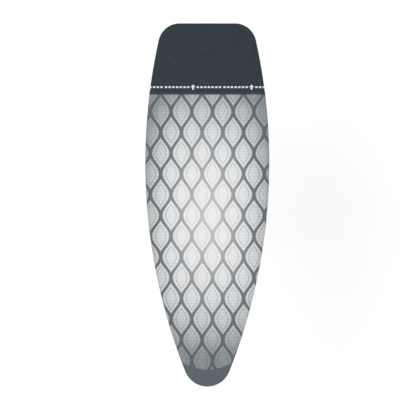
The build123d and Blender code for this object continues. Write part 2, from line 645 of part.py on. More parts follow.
def tube_plug(top, direction):
    """A plastic plug in the open top end of a leg tube."""
    with BuildPart() as plug:
        with BuildSketch(Plane(top - direction * LEG_OVERRUN, x_dir=(1, 0, 0), z_dir=-direction)):
            Circle(leg_tube_radius)
        extrude(amount=PLUG_CAP)
        fillet(plug.faces().sort_by(Axis.Z)[-1].edges(), PLUG_CAP / 2)
        with BuildSketch(Plane(top - direction * LEG_OVERRUN, x_dir=(1, 0, 0), z_dir=direction)):
            Circle(leg_tube_radius - LEG_TUBE_WALL - PIN_FIT)
        extrude(amount=PLUG_DEPTH)
    return plug.part


def foot_cap(sign, foot):
    """A moulded cap on one end of a foot bar, with a flat sole."""
    mouth_x = sign * (foot_bar_half - FOOT_CAP_GRIP)
    with BuildPart() as cap:
        with BuildSketch(side_plane(mouth_x, foot.Y, foot.Z)):
            Circle(foot_cap_radius)
        extrude(amount=sign * (FOOT_CAP_GRIP + FOOT_CAP_END))
        fillet(cap.faces().sort_by(Axis.X)[-1 if sign > 0 else 0].edges(), FOOT_CAP_ROUND)
        with BuildSketch(side_plane(mouth_x, foot.Y, foot.Z)):
            Circle(FOOT_BAR_DIAMETER / 2 + PIN_FIT)
        extrude(amount=sign * FOOT_CAP_GRIP, mode=Mode.SUBTRACT)
        split(bisect_by=Plane.XY, keep=Keep.TOP)
    return cap.part


# Legs: two tubes each, welded to a foot bar, with plugged tops and capped feet
hinge_radius = HINGE_PIN_DIAMETER / 2 + PIN_FIT
pivot_radius = PIVOT_BOLT_DIAMETER / 2 + PIN_FIT
rod_radius = SLIDE_ROD_DIAMETER / 2 + PIN_FIT
foot_cope = FOOT_BAR_DIAMETER / 2 + WELD_GAP
for name, leg_x, top, direction, foot, top_hole in (
    ("outer", outer_leg_x, hinge_point, outer_direction, outer_foot, hinge_radius),
    ("inner", inner_leg_x, slider_point, inner_direction, inner_foot, rod_radius),
):
    cross_cuts = ((0, top_hole), (upper_leg, pivot_radius), (leg_length, foot_cope))
    for side, sign in SIDES:
        with BuildPart() as tube_piece:
            add(leg_tube(top + Vector(sign * leg_x, 0, 0), direction, cross_cuts))
        tube_piece.part.label = f"{name}_leg_tube_{side}"
        export_step(tube_piece.part, f"parts/{name}_leg_tube_{side}.step")

        with BuildPart() as cap_piece:
            add(foot_cap(sign, foot))
        cap_piece.part.label = f"{name}_foot_cap_{side}"
        export_step(cap_piece.part, f"parts/{name}_foot_cap_{side}.step")

    with BuildPart() as leg_plugs:
        for side, sign in SIDES:
            add(tube_plug(top + Vector(sign * leg_x, 0, 0), direction))
    leg_plugs.part.label = f"{name}_leg_plugs"
    export_step(leg_plugs.part, f"parts/{name}_leg_plugs.step")

    with BuildPart() as foot_bar:
        with BuildSketch(side_plane(0, foot.Y, foot.Z)):
            Circle(FOOT_BAR_DIAMETER / 2)
            Circle(FOOT_BAR_DIAMETER / 2 - FOOT_BAR_WALL, mode=Mode.SUBTRACT)
        extrude(amount=foot_bar_half, both=True)
    foot_bar.part.label = f"{name}_foot_bar"
    export_step(foot_bar.part, f"parts/{name}_foot_bar.step")

# Crossbar between the inner legs, coped to them: the transport hook catches it
with BuildPart() as inner_crossbar:
    with BuildSketch(side_plane(0, crossbar_point.Y, crossbar_point.Z)):
        Circle(CROSSBAR_DIAMETER / 2)
        Circle(CROSSBAR_DIAMETER / 2 - CROSSBAR_WALL, mode=Mode.SUBTRACT)
    extrude(amount=inner_leg_x, both=True)
    for side, sign in SIDES:
        cope_start = crossbar_point + Vector(sign * inner_leg_x, 0, 0) - inner_direction * LEG_TUBE_DIAMETER
        with BuildSketch(Plane(cope_start, x_dir=(1, 0, 0), z_dir=inner_direction)):
            Circle(leg_tube_radius + WELD_GAP)
        extrude(amount=2 * LEG_TUBE_DIAMETER, mode=Mode.SUBTRACT)
inner_crossbar.part.label = "inner_crossbar"
export_step(inner_crossbar.part, "parts/inner_crossbar.step")

# Scissor pivots: a bolt through both tubes, a saddle spacer between them and a nut inside
nut_face = inner_leg_inside - SOFT_GAP
for side, sign in SIDES:
    with BuildPart() as pivot_bolt:
        head_x = outer_leg_x + leg_tube_radius + WELD_GAP
        end_x = nut_face - PIVOT_NUT_HEIGHT - PIVOT_BOLT_PROUD
        with BuildSketch(side_plane(sign * head_x, pivot_point.Y, pivot_point.Z)):
            Circle(PIVOT_HEAD_DIAMETER / 2)
        extrude(amount=sign * PIVOT_HEAD_HEIGHT)
        fillet(pivot_bolt.faces().sort_by(Axis.X)[-1 if sign > 0 else 0].edges(), PIVOT_HEAD_ROUND)
        with BuildSketch(side_plane(sign * head_x, pivot_point.Y, pivot_point.Z)):
            Circle(PIVOT_BOLT_DIAMETER / 2)
        extrude(amount=-sign * (head_x - end_x))
    pivot_bolt.part.label = f"pivot_bolt_{side}"
    export_step(pivot_bolt.part, f"parts/pivot_bolt_{side}.step")

    with BuildPart() as pivot_nut:
        with BuildSketch(side_plane(sign * nut_face, pivot_point.Y, pivot_point.Z)):
            RegularPolygon(PIVOT_NUT_ACROSS_CORNERS / 2, 6)
            Circle(pivot_radius, mode=Mode.SUBTRACT)
        extrude(amount=-sign * PIVOT_NUT_HEIGHT)
    pivot_nut.part.label = f"pivot_nut_{side}"
    export_step(pivot_nut.part, f"parts/pivot_nut_{side}.step")

    with BuildPart() as pivot_spacer:
        with BuildSketch(side_plane(sign * (inner_leg_outside + SOFT_GAP), pivot_point.Y, pivot_point.Z)):
            Circle(PIVOT_SPACER_DIAMETER / 2)
            Circle(pivot_radius, mode=Mode.SUBTRACT)
        extrude(amount=sign * (outer_leg_x - inner_leg_outside - SOFT_GAP))
        saddle_start = pivot_point + Vector(sign * outer_leg_x, 0, 0) - outer_direction * LEG_TUBE_DIAMETER
        with BuildSketch(Plane(saddle_start, x_dir=(1, 0, 0), z_dir=outer_direction)):
            Circle(leg_tube_radius + WELD_GAP)
        extrude(amount=2 * LEG_TUBE_DIAMETER, mode=Mode.SUBTRACT)
    pivot_spacer.part.label = f"pivot_spacer_{side}"
    export_step(pivot_spacer.part, f"parts/pivot_spacer_{side}.step")

# Slide rod through the tops of the inner legs, with push-on caps and the bushes that run in the rails
rod_half = inner_leg_outside + SOFT_GAP + ROD_CAP_HEIGHT / 2
with BuildPart() as slide_rod:
    with BuildSketch(side_plane(0, slider_y, hinge_z)):
        Circle(SLIDE_ROD_DIAMETER / 2)
    extrude(amount=rod_half, both=True)
slide_rod.part.label = "slide_rod"
export_step(slide_rod.part, "parts/slide_rod.step")

with BuildPart() as slide_rod_caps:
    for side, sign in SIDES:
        with BuildSketch(side_plane(sign * (inner_leg_outside + SOFT_GAP), slider_y, hinge_z)):
            Circle(ROD_CAP_DIAMETER / 2)
        extrude(amount=sign * ROD_CAP_HEIGHT)
        with BuildSketch(side_plane(sign * rod_half, slider_y, hinge_z)):
            Circle(SLIDE_ROD_DIAMETER / 2 + PIN_FIT)
        extrude(amount=-sign * ROD_CAP_HEIGHT, mode=Mode.SUBTRACT)
slide_rod_caps.part.label = "slide_rod_caps"
export_step(slide_rod_caps.part, "parts/slide_rod_caps.step")

bush_start = CARRIAGE_HALF_WIDTH + BUSH_END_GAP
bush_end = inner_leg_inside - BUSH_END_GAP
bush_flange_end = rail_web_x - RAIL_SHEET - BUSH_END_GAP
for side, sign in SIDES:
    with BuildPart() as slide_bush:
        with BuildSketch(side_plane(sign * bush_start, slider_y, hinge_z)):
            Circle(BUSH_DIAMETER / 2)
        extrude(amount=sign * (bush_end - bush_start))
        with BuildSketch(side_plane(sign * bush_flange_end, slider_y, hinge_z)):
            Circle(BUSH_FLANGE_DIAMETER / 2)
        extrude(amount=-sign * BUSH_FLANGE_WIDTH)
        with BuildSketch(side_plane(sign * bush_start, slider_y, hinge_z)):
            Circle(SLIDE_ROD_DIAMETER / 2 + PIN_FIT)
        extrude(amount=sign * (bush_end - bush_start), mode=Mode.SUBTRACT)
    slide_bush.part.label = f"slide_bush_{side}"
    export_step(slide_bush.part, f"parts/slide_bush_{side}.step")

# Carriage: a moulded block on the slide rod with an open bay for the lever, bored for the lock bar
carriage_heel_y = slider_y + CARRIAGE_BLOCK_HALF
carriage_nose_y = slider_y - carriage_nose_reach
bay_heel_y = slider_y - CARRIAGE_BLOCK_HALF
bay_nose_y = bay_heel_y - CARRIAGE_BAY
carriage_bottom = hinge_z - CARRIAGE_BELOW_ROD
carriage_top = lock_bar_z + CARRIAGE_ABOVE_BAR
lever_pin_y = bay_heel_y - LEVER_PIN_FROM_BLOCK
lever_pin_z = hinge_z - LEVER_PIN_BELOW_ROD
with BuildPart() as carriage:
    with BuildSketch(Plane.XY.offset(carriage_bottom)):
        with Locations((0, (carriage_heel_y + carriage_nose_y) / 2)):
            Rectangle(2 * CARRIAGE_HALF_WIDTH, carriage_heel_y - carriage_nose_y)
    extrude(amount=carriage_top - carriage_bottom)
    fillet(carriage.edges().filter_by(Axis.Z), CARRIAGE_ROUND)
    fillet(carriage.edges().group_by(Axis.Z)[-1], CARRIAGE_RIM_ROUND)
    fillet(carriage.edges().group_by(Axis.Z)[0], CARRIAGE_RIM_ROUND)
    with BuildSketch(Plane.XY.offset(carriage_bottom)):
        with Locations((0, (bay_heel_y + bay_nose_y) / 2)):
            Rectangle(2 * (CARRIAGE_HALF_WIDTH - CARRIAGE_CHEEK), CARRIAGE_BAY)
    extrude(amount=carriage_top - carriage_bottom, mode=Mode.SUBTRACT)
    with BuildSketch(Plane((0, carriage_heel_y, lock_bar_z), x_dir=(1, 0, 0), z_dir=(0, -1, 0))):
        Circle(LOCK_BAR_DIAMETER / 2 + LOCK_BAR_CLEARANCE)
    extrude(amount=carriage_heel_y - carriage_nose_y, mode=Mode.SUBTRACT)
    for bore_y, bore_z, bore_radius in (
        (slider_y, hinge_z, SLIDE_ROD_DIAMETER / 2 + PIN_FIT),
        (lever_pin_y, lever_pin_z, LEVER_PIN_DIAMETER / 2 + PIN_FIT),
    ):
        with BuildSketch(side_plane(0, bore_y, bore_z)):
            Circle(bore_radius)
        extrude(amount=CARRIAGE_HALF_WIDTH, both=True, mode=Mode.SUBTRACT)
carriage.part.label = "carriage"
export_step(carriage.part, "parts/carriage.step")

with BuildPart() as lever_pin:
    with BuildSketch(side_plane(0, lever_pin_y, lever_pin_z)):
        Circle(LEVER_PIN_DIAMETER / 2)
    extrude(amount=CARRIAGE_HALF_WIDTH, both=True)
    for way in (-1, 1):
        with BuildSketch(side_plane(way * CARRIAGE_HALF_WIDTH, lever_pin_y, lever_pin_z)):
            Circle(LEVER_PIN_HEAD_DIAMETER / 2)
        extrude(amount=way * LEVER_PIN_HEAD_HEIGHT)
lever_pin.part.label = "lever_pin"
export_step(lever_pin.part, "parts/lever_pin.step")

# Release lever: a canted plate that grips the lock bar, on a barrel, with a stem down to the grip
tilt = radians(LEVER_TILT)
lever_plane = Plane((0, lever_pin_y, lever_pin_z), x_dir=(1, 0, 0), z_dir=(0, -cos(tilt), sin(tilt)))
bar_above_pin = (lock_bar_z - lever_pin_z) / cos(tilt)
barrel_half = CARRIAGE_HALF_WIDTH - CARRIAGE_CHEEK - LEVER_SIDE_GAP
grip_top = -LEVER_DROP + GRIP_HEIGHT / 2
with BuildPart() as release_lever:
    with BuildSketch(lever_plane) as lever_outline:
        Rectangle(LEVER_PLATE_WIDTH, bar_above_pin + LEVER_PLATE_MARGIN, align=(Align.CENTER, Align.MIN))
        fillet(lever_outline.vertices().sort_by(Axis.Y)[-2:], LEVER_PLATE_ROUND)
        Rectangle(LEVER_STEM_WIDTH, GRIP_POCKET - grip_top, align=(Align.CENTER, Align.MAX))
        with Locations((0, bar_above_pin)):
            Circle(LOCK_BAR_DIAMETER / 2 + LEVER_BAR_CLEARANCE, mode=Mode.SUBTRACT)
    extrude(amount=LEVER_PLATE_THICKNESS / 2, both=True)
    with BuildSketch(side_plane(0, lever_pin_y, lever_pin_z)):
        Circle(LEVER_BARREL_DIAMETER / 2)
    extrude(amount=barrel_half, both=True)
    with BuildSketch(side_plane(0, lever_pin_y, lever_pin_z)):
        Circle(LEVER_PIN_DIAMETER / 2 + PIN_FIT)
    extrude(amount=barrel_half, both=True, mode=Mode.SUBTRACT)
release_lever.part.label = "release_lever"
export_step(release_lever.part, "parts/release_lever.step")

with BuildPart() as lever_grip:
    with BuildSketch(lever_plane):
        with Locations((0, -LEVER_DROP)):
            RectangleRounded(GRIP_LENGTH, GRIP_HEIGHT, GRIP_ROUND)
    extrude(amount=GRIP_DEPTH / 2, both=True)
    fillet(lever_grip.faces().filter_by(lever_plane).edges(), GRIP_ROUND)
    with BuildSketch(lever_plane):
        with Locations((0, grip_top)):
            Rectangle(
                LEVER_STEM_WIDTH + 2 * PIN_FIT, GRIP_POCKET + PIN_FIT, align=(Align.CENTER, Align.MAX)
            )
    extrude(amount=LEVER_PLATE_THICKNESS / 2 + PIN_FIT, both=True, mode=Mode.SUBTRACT)
lever_grip.part.label = "lever_grip"
export_step(lever_grip.part, "parts/lever_grip.step")

# Lever spring: one coil round the lock bar, between the carriage's nose wall and the lever
plate_lean = (SPRING_MEAN_RADIUS + SPRING_WIRE / 2) * sin(tilt) + LEVER_PLATE_THICKNESS / 2
lever_face_y = lever_pin_y + bar_above_pin * sin(tilt) - plate_lean
spring_start_y = bay_nose_y + SPRING_SEAT_GAP + SPRING_WIRE / 2
spring_end_y = lever_face_y - SPRING_SEAT_GAP - SPRING_WIRE / 2
spring_pitch = (spring_end_y - spring_start_y) / SPRING_TURNS


def coil_point(turn):
    """The middle of the spring's wire after so many turns."""
    angle = 2 * pi * turn
    return Vector(
        SPRING_MEAN_RADIUS * cos(angle),
        spring_start_y + spring_pitch * turn,
        lock_bar_z + SPRING_MEAN_RADIUS * sin(angle),
    )


def coil_direction(turn):
    """The direction of the spring's wire after so many turns."""
    angle = 2 * pi * turn
    around = 2 * pi * SPRING_MEAN_RADIUS
    return Vector(-around * sin(angle), spring_pitch, around * cos(angle)).normalized()


with BuildPart() as lever_spring:
    with BuildLine() as coil:
        for arc in range(SPRING_TURNS * SPRING_ARCS_PER_TURN):
            start = coil_point(arc / SPRING_ARCS_PER_TURN)
            end = coil_point((arc + 1) / SPRING_ARCS_PER_TURN)
            start_way = coil_direction(arc / SPRING_ARCS_PER_TURN)
            end_way = coil_direction((arc + 1) / SPRING_ARCS_PER_TURN)
            both_ways = start_way + end_way
            chord = end - start
            square = both_ways.dot(both_ways) - 4
            lean = chord.dot(both_ways)
            reach = (lean - sqrt(lean**2 - square * chord.dot(chord))) / square
            middle = (start + end + (start_way - end_way) * reach) * 0.5
            first_arc = TangentArc(start, middle, tangent=start_way)
            TangentArc(middle, end, tangent=first_arc % 1)
    with BuildSketch(Plane(coil_point(0), z_dir=coil_direction(0))):
        Circle(SPRING_WIRE / 2)
    sweep(path=coil.wires()[0])
lever_spring.part.label = "lever_spring"
export_step(lever_spring.part, "parts/lever_spring.step")

# The least gap between two turns, measured on points along the wire
wire_steps = range(SPRING_TURNS * SPRING_POINTS_PER_TURN + 1)
wire_points = [coil_point(step / SPRING_POINTS_PER_TURN) for step in wire_steps]
least_gap = min(
    (wire_points[first] - wire_points[second]).length - SPRING_WIRE
    for first in wire_steps
    for second in range(first + SPRING_POINTS_PER_TURN // 2, len(wire_points))
)
print(f"lever spring least gap {least_gap:.2f} mm, wanted over {SPRING_LEAST_GAP} mm")
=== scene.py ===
import bisect
import json
import math
import random

import bmesh
import bpy
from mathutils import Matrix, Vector


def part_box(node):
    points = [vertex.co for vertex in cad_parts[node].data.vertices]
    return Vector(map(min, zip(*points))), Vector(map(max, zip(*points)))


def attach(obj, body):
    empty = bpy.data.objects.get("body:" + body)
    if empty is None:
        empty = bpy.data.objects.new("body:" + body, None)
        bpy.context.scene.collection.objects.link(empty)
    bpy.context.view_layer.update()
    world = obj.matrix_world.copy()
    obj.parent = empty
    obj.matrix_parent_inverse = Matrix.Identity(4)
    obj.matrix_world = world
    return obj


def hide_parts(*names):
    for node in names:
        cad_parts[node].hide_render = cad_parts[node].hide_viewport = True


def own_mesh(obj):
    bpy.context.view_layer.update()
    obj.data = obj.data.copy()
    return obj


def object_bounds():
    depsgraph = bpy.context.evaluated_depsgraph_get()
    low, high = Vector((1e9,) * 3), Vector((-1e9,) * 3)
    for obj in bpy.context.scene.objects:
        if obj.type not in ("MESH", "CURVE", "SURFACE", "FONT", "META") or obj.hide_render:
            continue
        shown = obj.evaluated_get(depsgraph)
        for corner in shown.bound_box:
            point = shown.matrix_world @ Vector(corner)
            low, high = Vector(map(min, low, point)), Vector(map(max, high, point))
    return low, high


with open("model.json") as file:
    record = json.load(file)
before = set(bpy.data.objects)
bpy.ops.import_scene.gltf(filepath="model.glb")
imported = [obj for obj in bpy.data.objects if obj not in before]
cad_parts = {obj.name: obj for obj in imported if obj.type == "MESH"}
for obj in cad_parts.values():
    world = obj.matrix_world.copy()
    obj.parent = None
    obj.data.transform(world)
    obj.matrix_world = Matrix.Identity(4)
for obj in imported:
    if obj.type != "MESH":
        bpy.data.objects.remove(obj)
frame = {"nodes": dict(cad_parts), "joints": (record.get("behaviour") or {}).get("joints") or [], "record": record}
cad_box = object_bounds()
nodes = frame["nodes"]
scene = bpy.context.scene
MM = 0.001
FULL_TURN = 2 * math.pi
QUARTER_TURN = math.pi / 2

# Camera: straight down on the board, with the heel at the top of the picture
CAMERA_ABOVE_TOP = 3.2
PICTURE_WIDTH = 1.4827
SENSOR_WIDTH = 36
CAMERA_X = -0.0271
CAMERA_Y = 0.0185
top_z = cad_box[1][2]
camera_data = bpy.data.cameras.new("camera")
camera_data.sensor_width = SENSOR_WIDTH
camera_data.lens = SENSOR_WIDTH * CAMERA_ABOVE_TOP / PICTURE_WIDTH
camera = bpy.data.objects.new("camera", camera_data)
camera.location = (CAMERA_X, CAMERA_Y, top_z + CAMERA_ABOVE_TOP)
scene.collection.objects.link(camera)
scene.camera = camera
scene.view_settings.view_transform = "Standard"

# Sizes of the part, in metres
BOARD_LENGTH = 1.350
BOARD_WIDTH = 0.461
HEEL_TO_WIDEST = 0.517
NOSE_RADIUS = 0.088
HEEL_CORNER_RADIUS = 0.080
COVER_TOP_RADIUS = 0.009
HEM_FOLD_RADIUS = 0.005
HEM_WIDTH = 0.040
PAD_INSET = 0.0015
RIM_INNER_INSET = 0.0175
SEAM_Y = 0.410
heel_y = BOARD_LENGTH / 2
nose_y = -BOARD_LENGTH / 2
hem_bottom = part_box("cover_main")[0].z
rim_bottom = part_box("rim_tube")[0].z
felt_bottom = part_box("felt_pad")[0].z
felt_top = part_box("felt_pad")[1].z
foam_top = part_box("foam_pad")[1].z
binding_low, binding_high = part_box("hem_binding")
binding_z = (binding_low.z + binding_high.z) / 2

# Outline: a straight heel, corner arcs, long side arcs and the nose arc
half_board = BOARD_WIDTH / 2
widest_y = heel_y - HEEL_TO_WIDEST
to_nose_end = BOARD_LENGTH - HEEL_TO_WIDEST
side_radius = half_board**2 + to_nose_end**2 - 2 * to_nose_end * NOSE_RADIUS
side_radius /= 2 * (half_board - NOSE_RADIUS)
side_x = half_board - side_radius
nose_centre_y = nose_y + NOSE_RADIUS
corner_y = heel_y - HEEL_CORNER_RADIUS
corner_rise = corner_y - widest_y
corner_x = side_x + math.sqrt((side_radius - HEEL_CORNER_RADIUS) ** 2 - corner_rise**2)
corner_angle = math.atan2(corner_rise, corner_x - side_x)
nose_angle = math.atan2(nose_centre_y - widest_y, -side_x)
arcs = (
    (corner_x, corner_y, HEEL_CORNER_RADIUS, QUARTER_TURN, corner_angle),
    (side_x, widest_y, side_radius, corner_angle, nose_angle),
    (0.0, nose_centre_y, NOSE_RADIUS, nose_angle, -QUARTER_TURN),
)
half_round = corner_x + sum(radius * (start - end) for _, _, radius, start, end in arcs)


def half_outline(distance):
    """Place, outward direction and bend of the right half, from the heel's middle to the nose."""
    if distance <= corner_x:
        return (distance, heel_y), (0.0, 1.0), 0.0
    distance -= corner_x
    for arc in arcs:
        x, y, radius, start, end = arc
        length = radius * (start - end)
        if distance <= length or arc is arcs[-1]:
            angle = max(start - distance / radius, end)
            out = (math.cos(angle), math.sin(angle))
            return (x + radius * out[0], y + radius * out[1]), out, 1 / radius
        distance -= length


def outline_points(count):
    """Places, outward directions and bends at even steps once round the outline."""
    found = []
    for step in range(count):
        distance = 2 * half_round * step / count
        if distance <= half_round:
            found.append(half_outline(distance))
        else:
            (x, y), (out_x, out_y), bend = half_outline(2 * half_round - distance)
            found.append(((-x, y), (-out_x, out_y), bend))
    return found


def half_width(y, inset):
    """Half the width of the board at y on its long side arcs, drawn in by inset."""
    return side_x + math.sqrt((side_radius - inset) ** 2 - (y - widest_y) ** 2)


# Materials, with colours written as display values from 0 to 255
FLAT_CUT = "flat_cut"


def linear(colour):
    """Display values as the shader wants them, by the sRGB curve."""
    shares = [value / 255 for value in colour]
    return tuple(s / 12.92 if s <= 0.04045 else ((s + 0.055) / 1.055) ** 2.4 for s in shares)


class Calc:
    """A shader value to reckon with in plain expressions."""

    def __init__(self, tree, socket):
        self.tree = tree
        self.socket = socket

    def run(self, operation, *others):
        node = self.tree.nodes.new("ShaderNodeMath")
        node.operation = operation
        for place, value in enumerate((self, *others)):
            if isinstance(value, Calc):
                self.tree.links.new(value.socket, node.inputs[place])
            else:
                node.inputs[place].default_value = value
        return Calc(self.tree, node.outputs[0])

    def __add__(self, other):
        return self.run("ADD", other)

    def __sub__(self, other):
        return self.run("SUBTRACT", other)

    def __mul__(self, other):
        return self.run("MULTIPLY", other)

    def __truediv__(self, other):
        return self.run("DIVIDE", other)

    def size(self):
        return self.run("ABSOLUTE")

    def rest(self):
        """What this value lacks of 1."""
        return self * -1.0 + 1.0

    def held(self):
        """This value, held between 0 and 1."""
        return self.run("MAXIMUM", 0.0).run("MINIMUM", 1.0)

    def wave(self, length):
        """A sine of this value with that wave length."""
        return (self * (FULL_TURN / length)).run("SINE")

    def off_middle(self, pitch):
        """How far this value is from the nearest whole multiple of pitch."""
        return ((self / pitch + 0.5).run("FRACT") - 0.5) * pitch

    def ramp(self, low, high):
        """0 up to low and 1 from high on, smooth between. With low over high it falls instead."""
        node = self.tree.nodes.new("ShaderNodeMapRange")
        node.interpolation_type = "SMOOTHSTEP"
        self.tree.links.new(self.socket, node.inputs["Value"])
        node.inputs["From Min"].default_value = low
        node.inputs["From Max"].default_value = high
        return Calc(self.tree, node.outputs["Result"])

    def over(self, edge, soft):
        """1 where this value is over an edge that is soft by so much to each side."""
        return self.ramp(edge - soft, edge + soft)

    def under(self, edge, soft):
        """1 where this value is under such an edge."""
        return self.ramp(edge + soft, edge - soft)


class Paint:
    """A principled material on the part's own coordinates, or on those of a cloth's flat cut."""

    def __init__(self, name, roughness, metallic=0.0, sheen=0.0, specular=0.5, flat_cut=False):
        self.material = bpy.data.materials.new(name)
        self.material.use_nodes = True
        self.tree = self.material.node_tree
        self.shader = self.tree.nodes["Principled BSDF"]
        self.shader.inputs["Roughness"].default_value = roughness
        self.shader.inputs["Metallic"].default_value = metallic
        self.shader.inputs["Sheen Weight"].default_value = sheen
        self.shader.inputs["Specular IOR Level"].default_value = specular
        if flat_cut:
            reader = self.tree.nodes.new("ShaderNodeAttribute")
            reader.attribute_name = FLAT_CUT
            self.place = reader.outputs["Vector"]
        else:
            self.place = self.tree.nodes.new("ShaderNodeTexCoord").outputs["Object"]
        split = self.tree.nodes.new("ShaderNodeSeparateXYZ")
        self.tree.links.new(self.place, split.inputs[0])
        self.x, self.y, self.z = (Calc(self.tree, socket) for socket in split.outputs)

    def noise(self, bumps, detail, stretch=None):
        """Smooth noise from 0 to 1 with so many bumps a metre."""
        node = self.tree.nodes.new("ShaderNodeTexNoise")
        node.inputs["Scale"].default_value = bumps
        node.inputs["Detail"].default_value = detail
        place = self.place
        if stretch:
            scaling = self.tree.nodes.new("ShaderNodeMapping")
            scaling.inputs["Scale"].default_value = stretch
            self.tree.links.new(place, scaling.inputs["Vector"])
            place = scaling.outputs["Vector"]
        self.tree.links.new(place, node.inputs["Vector"])
        return Calc(self.tree, node.outputs[0])

    def cells(self, points):
        """Distance to the nearest of so many random points a metre, with the spacing as unit."""
        node = self.tree.nodes.new("ShaderNodeTexVoronoi")
        node.inputs["Scale"].default_value = points
        self.tree.links.new(self.place, node.inputs["Vector"])
        return Calc(self.tree, node.outputs["Distance"])

    def blend(self, first, second, share):
        """A colour that goes from first to second by share; each is display values or a socket."""
        node = self.tree.nodes.new("ShaderNodeMix")
        node.data_type = "RGBA"
        ends = [socket for socket in node.inputs if socket.type == "RGBA"]
        for socket, colour in zip(ends, (first, second)):
            if isinstance(colour, tuple):
                socket.default_value = (*linear(colour), 1.0)
            else:
                self.tree.links.new(colour, socket)
        self.tree.links.new(share.socket, node.inputs[0])
        return [socket for socket in node.outputs if socket.type == "RGBA"][0]

    def colour(self, socket):
        self.tree.links.new(socket, self.shader.inputs["Base Color"])

    def rough(self, low, high, share):
        """Roughness that goes from low to high by share."""
        roughness = share * (high - low) + low
        self.tree.links.new(roughness.socket, self.shader.inputs["Roughness"])

    def bump(self, height, depth, strength):
        node = self.tree.nodes.new("ShaderNodeBump")
        node.inputs["Strength"].default_value = strength
        node.inputs["Distance"].default_value = depth
        self.tree.links.new(height.socket, node.inputs["Height"])
        self.tree.links.new(node.outputs["Normal"], self.shader.inputs["Normal"])


# Woven cloth
CLOTH_THREAD = 0.0011
THREAD_RELIEF = 0.00012
THREAD_STRENGTH = 0.5
THREAD_UNEVEN = 0.8
WEAVE_MEAN = THREAD_UNEVEN / 2


def weave(paint, slope):
    """Crossing threads with a little unevenness; slope leans the ridges as in a twill."""
    over = paint.x.wave(CLOTH_THREAD) * paint.y.wave(CLOTH_THREAD)
    ribs = (paint.x + paint.y).wave(2 * CLOTH_THREAD)
    uneven = paint.noise(bumps=420, detail=3.0) * THREAD_UNEVEN
    return over * (1 - slope) + ribs * slope + uneven


# Printed cotton: a traditional ogee trellis, on a ground that darkens towards the ends and edges
# in rows of dots
WHITE_CLOTH = (246, 246, 247)
SLATE = (91, 102, 108)
PRINT_MIDDLE_Y = -0.045
PRINT_REACH_ACROSS = 0.23
PRINT_REACH_ALONG = 0.55
GROUND_ALONG = 0.48
GROUND_ENDS = 0.55
GROUND_ACROSS = 0.24
GROUND_EDGES = 0.38
GROUND_MOST = 0.80
GROUND_BLEND = 0.25
HATCH_PITCH = 0.0115
HATCH_DEPTH = 0.085
SCREEN_PITCH = 0.0124
SCREEN_FROM = -0.05
SCREEN_FULL = 0.35
DOT_LOW = -0.10
DOT_HIGH = 0.45
DOT_MEAN = 0.37
DOT_DEPTH = 0.15
OGEE_ACROSS = 0.0768
OGEE_ALONG = 0.154
OGEE_SWAY = 0.0185
LINE_CORE = 0.0042
LINE_SOFT = 0.0085
ECHO_AT = 0.0180
ECHO_SOFT = 0.0048
ECHO_INK = 0.35
INK_NEAR = -0.05
INK_FAR = 0.95
INK_LEAST = 0.40
INK_MORE = 0.54
PLAIN_TIP_Y = -0.609
TIP_CURVE = 3.0
TIP_EDGE = 0.002
COTTON_CLOUDS = 0.06
COTTON_SPECKS = 0.08
COTTON_THREADS = 0.05

cotton = Paint("printed_cotton", roughness=0.86, sheen=0.03, specular=0.12, flat_cut=True)
across = cotton.x / PRINT_REACH_ACROSS
along = (cotton.y - PRINT_MIDDLE_Y) / PRINT_REACH_ALONG
across_squared = across * across
along_squared = along * along
ground_along = along_squared * (along_squared * GROUND_ENDS + GROUND_ALONG)
ground_across = across_squared * (across_squared * GROUND_EDGES + GROUND_ACROSS)
ground = (ground_along + ground_across).run("SMOOTH_MIN", GROUND_MOST, GROUND_BLEND)
dots = cotton.x.wave(SCREEN_PITCH) * cotton.y.wave(2 * HATCH_PITCH)
dots = dots.ramp(DOT_LOW, DOT_HIGH) - DOT_MEAN
screen = cotton.y.wave(HATCH_PITCH) * HATCH_DEPTH + dots * DOT_DEPTH
screen = screen * ground.ramp(SCREEN_FROM, SCREEN_FULL)
sway = cotton.y.wave(OGEE_ALONG) * OGEE_SWAY
line_off = (cotton.x - sway).off_middle(OGEE_ACROSS).size()
mirrored_off = (cotton.x + sway - OGEE_ACROSS / 2).off_middle(OGEE_ACROSS).size()
from_line = line_off.run("MINIMUM", mirrored_off)
lines = from_line.ramp(LINE_SOFT, LINE_CORE)
echo = (from_line - ECHO_AT).size().ramp(ECHO_SOFT, 0.0) * ECHO_INK
ink = (along_squared + across_squared).run("SQRT").ramp(INK_NEAR, INK_FAR) * INK_MORE + INK_LEAST
trellis = lines.run("MAXIMUM", echo) * ink
tip = (cotton.y - cotton.x * cotton.x * TIP_CURVE).under(PLAIN_TIP_Y, TIP_EDGE)
bare = ground.rest() * screen.rest() * trellis.rest()
inked = bare.rest().run("MAXIMUM", tip)
cotton_weave = weave(cotton, slope=0.0)
uneven = cotton.noise(bumps=38, detail=4.0) * COTTON_CLOUDS
uneven = uneven + cotton.noise(bumps=900, detail=2.0) * COTTON_SPECKS
uneven = uneven - (COTTON_CLOUDS + COTTON_SPECKS) / 2
uneven = uneven - (cotton_weave - WEAVE_MEAN) * COTTON_THREADS
cotton.colour(cotton.blend(WHITE_CLOTH, SLATE, (inked + uneven).held()))
cotton.bump(cotton_weave, THREAD_RELIEF, THREAD_STRENGTH)

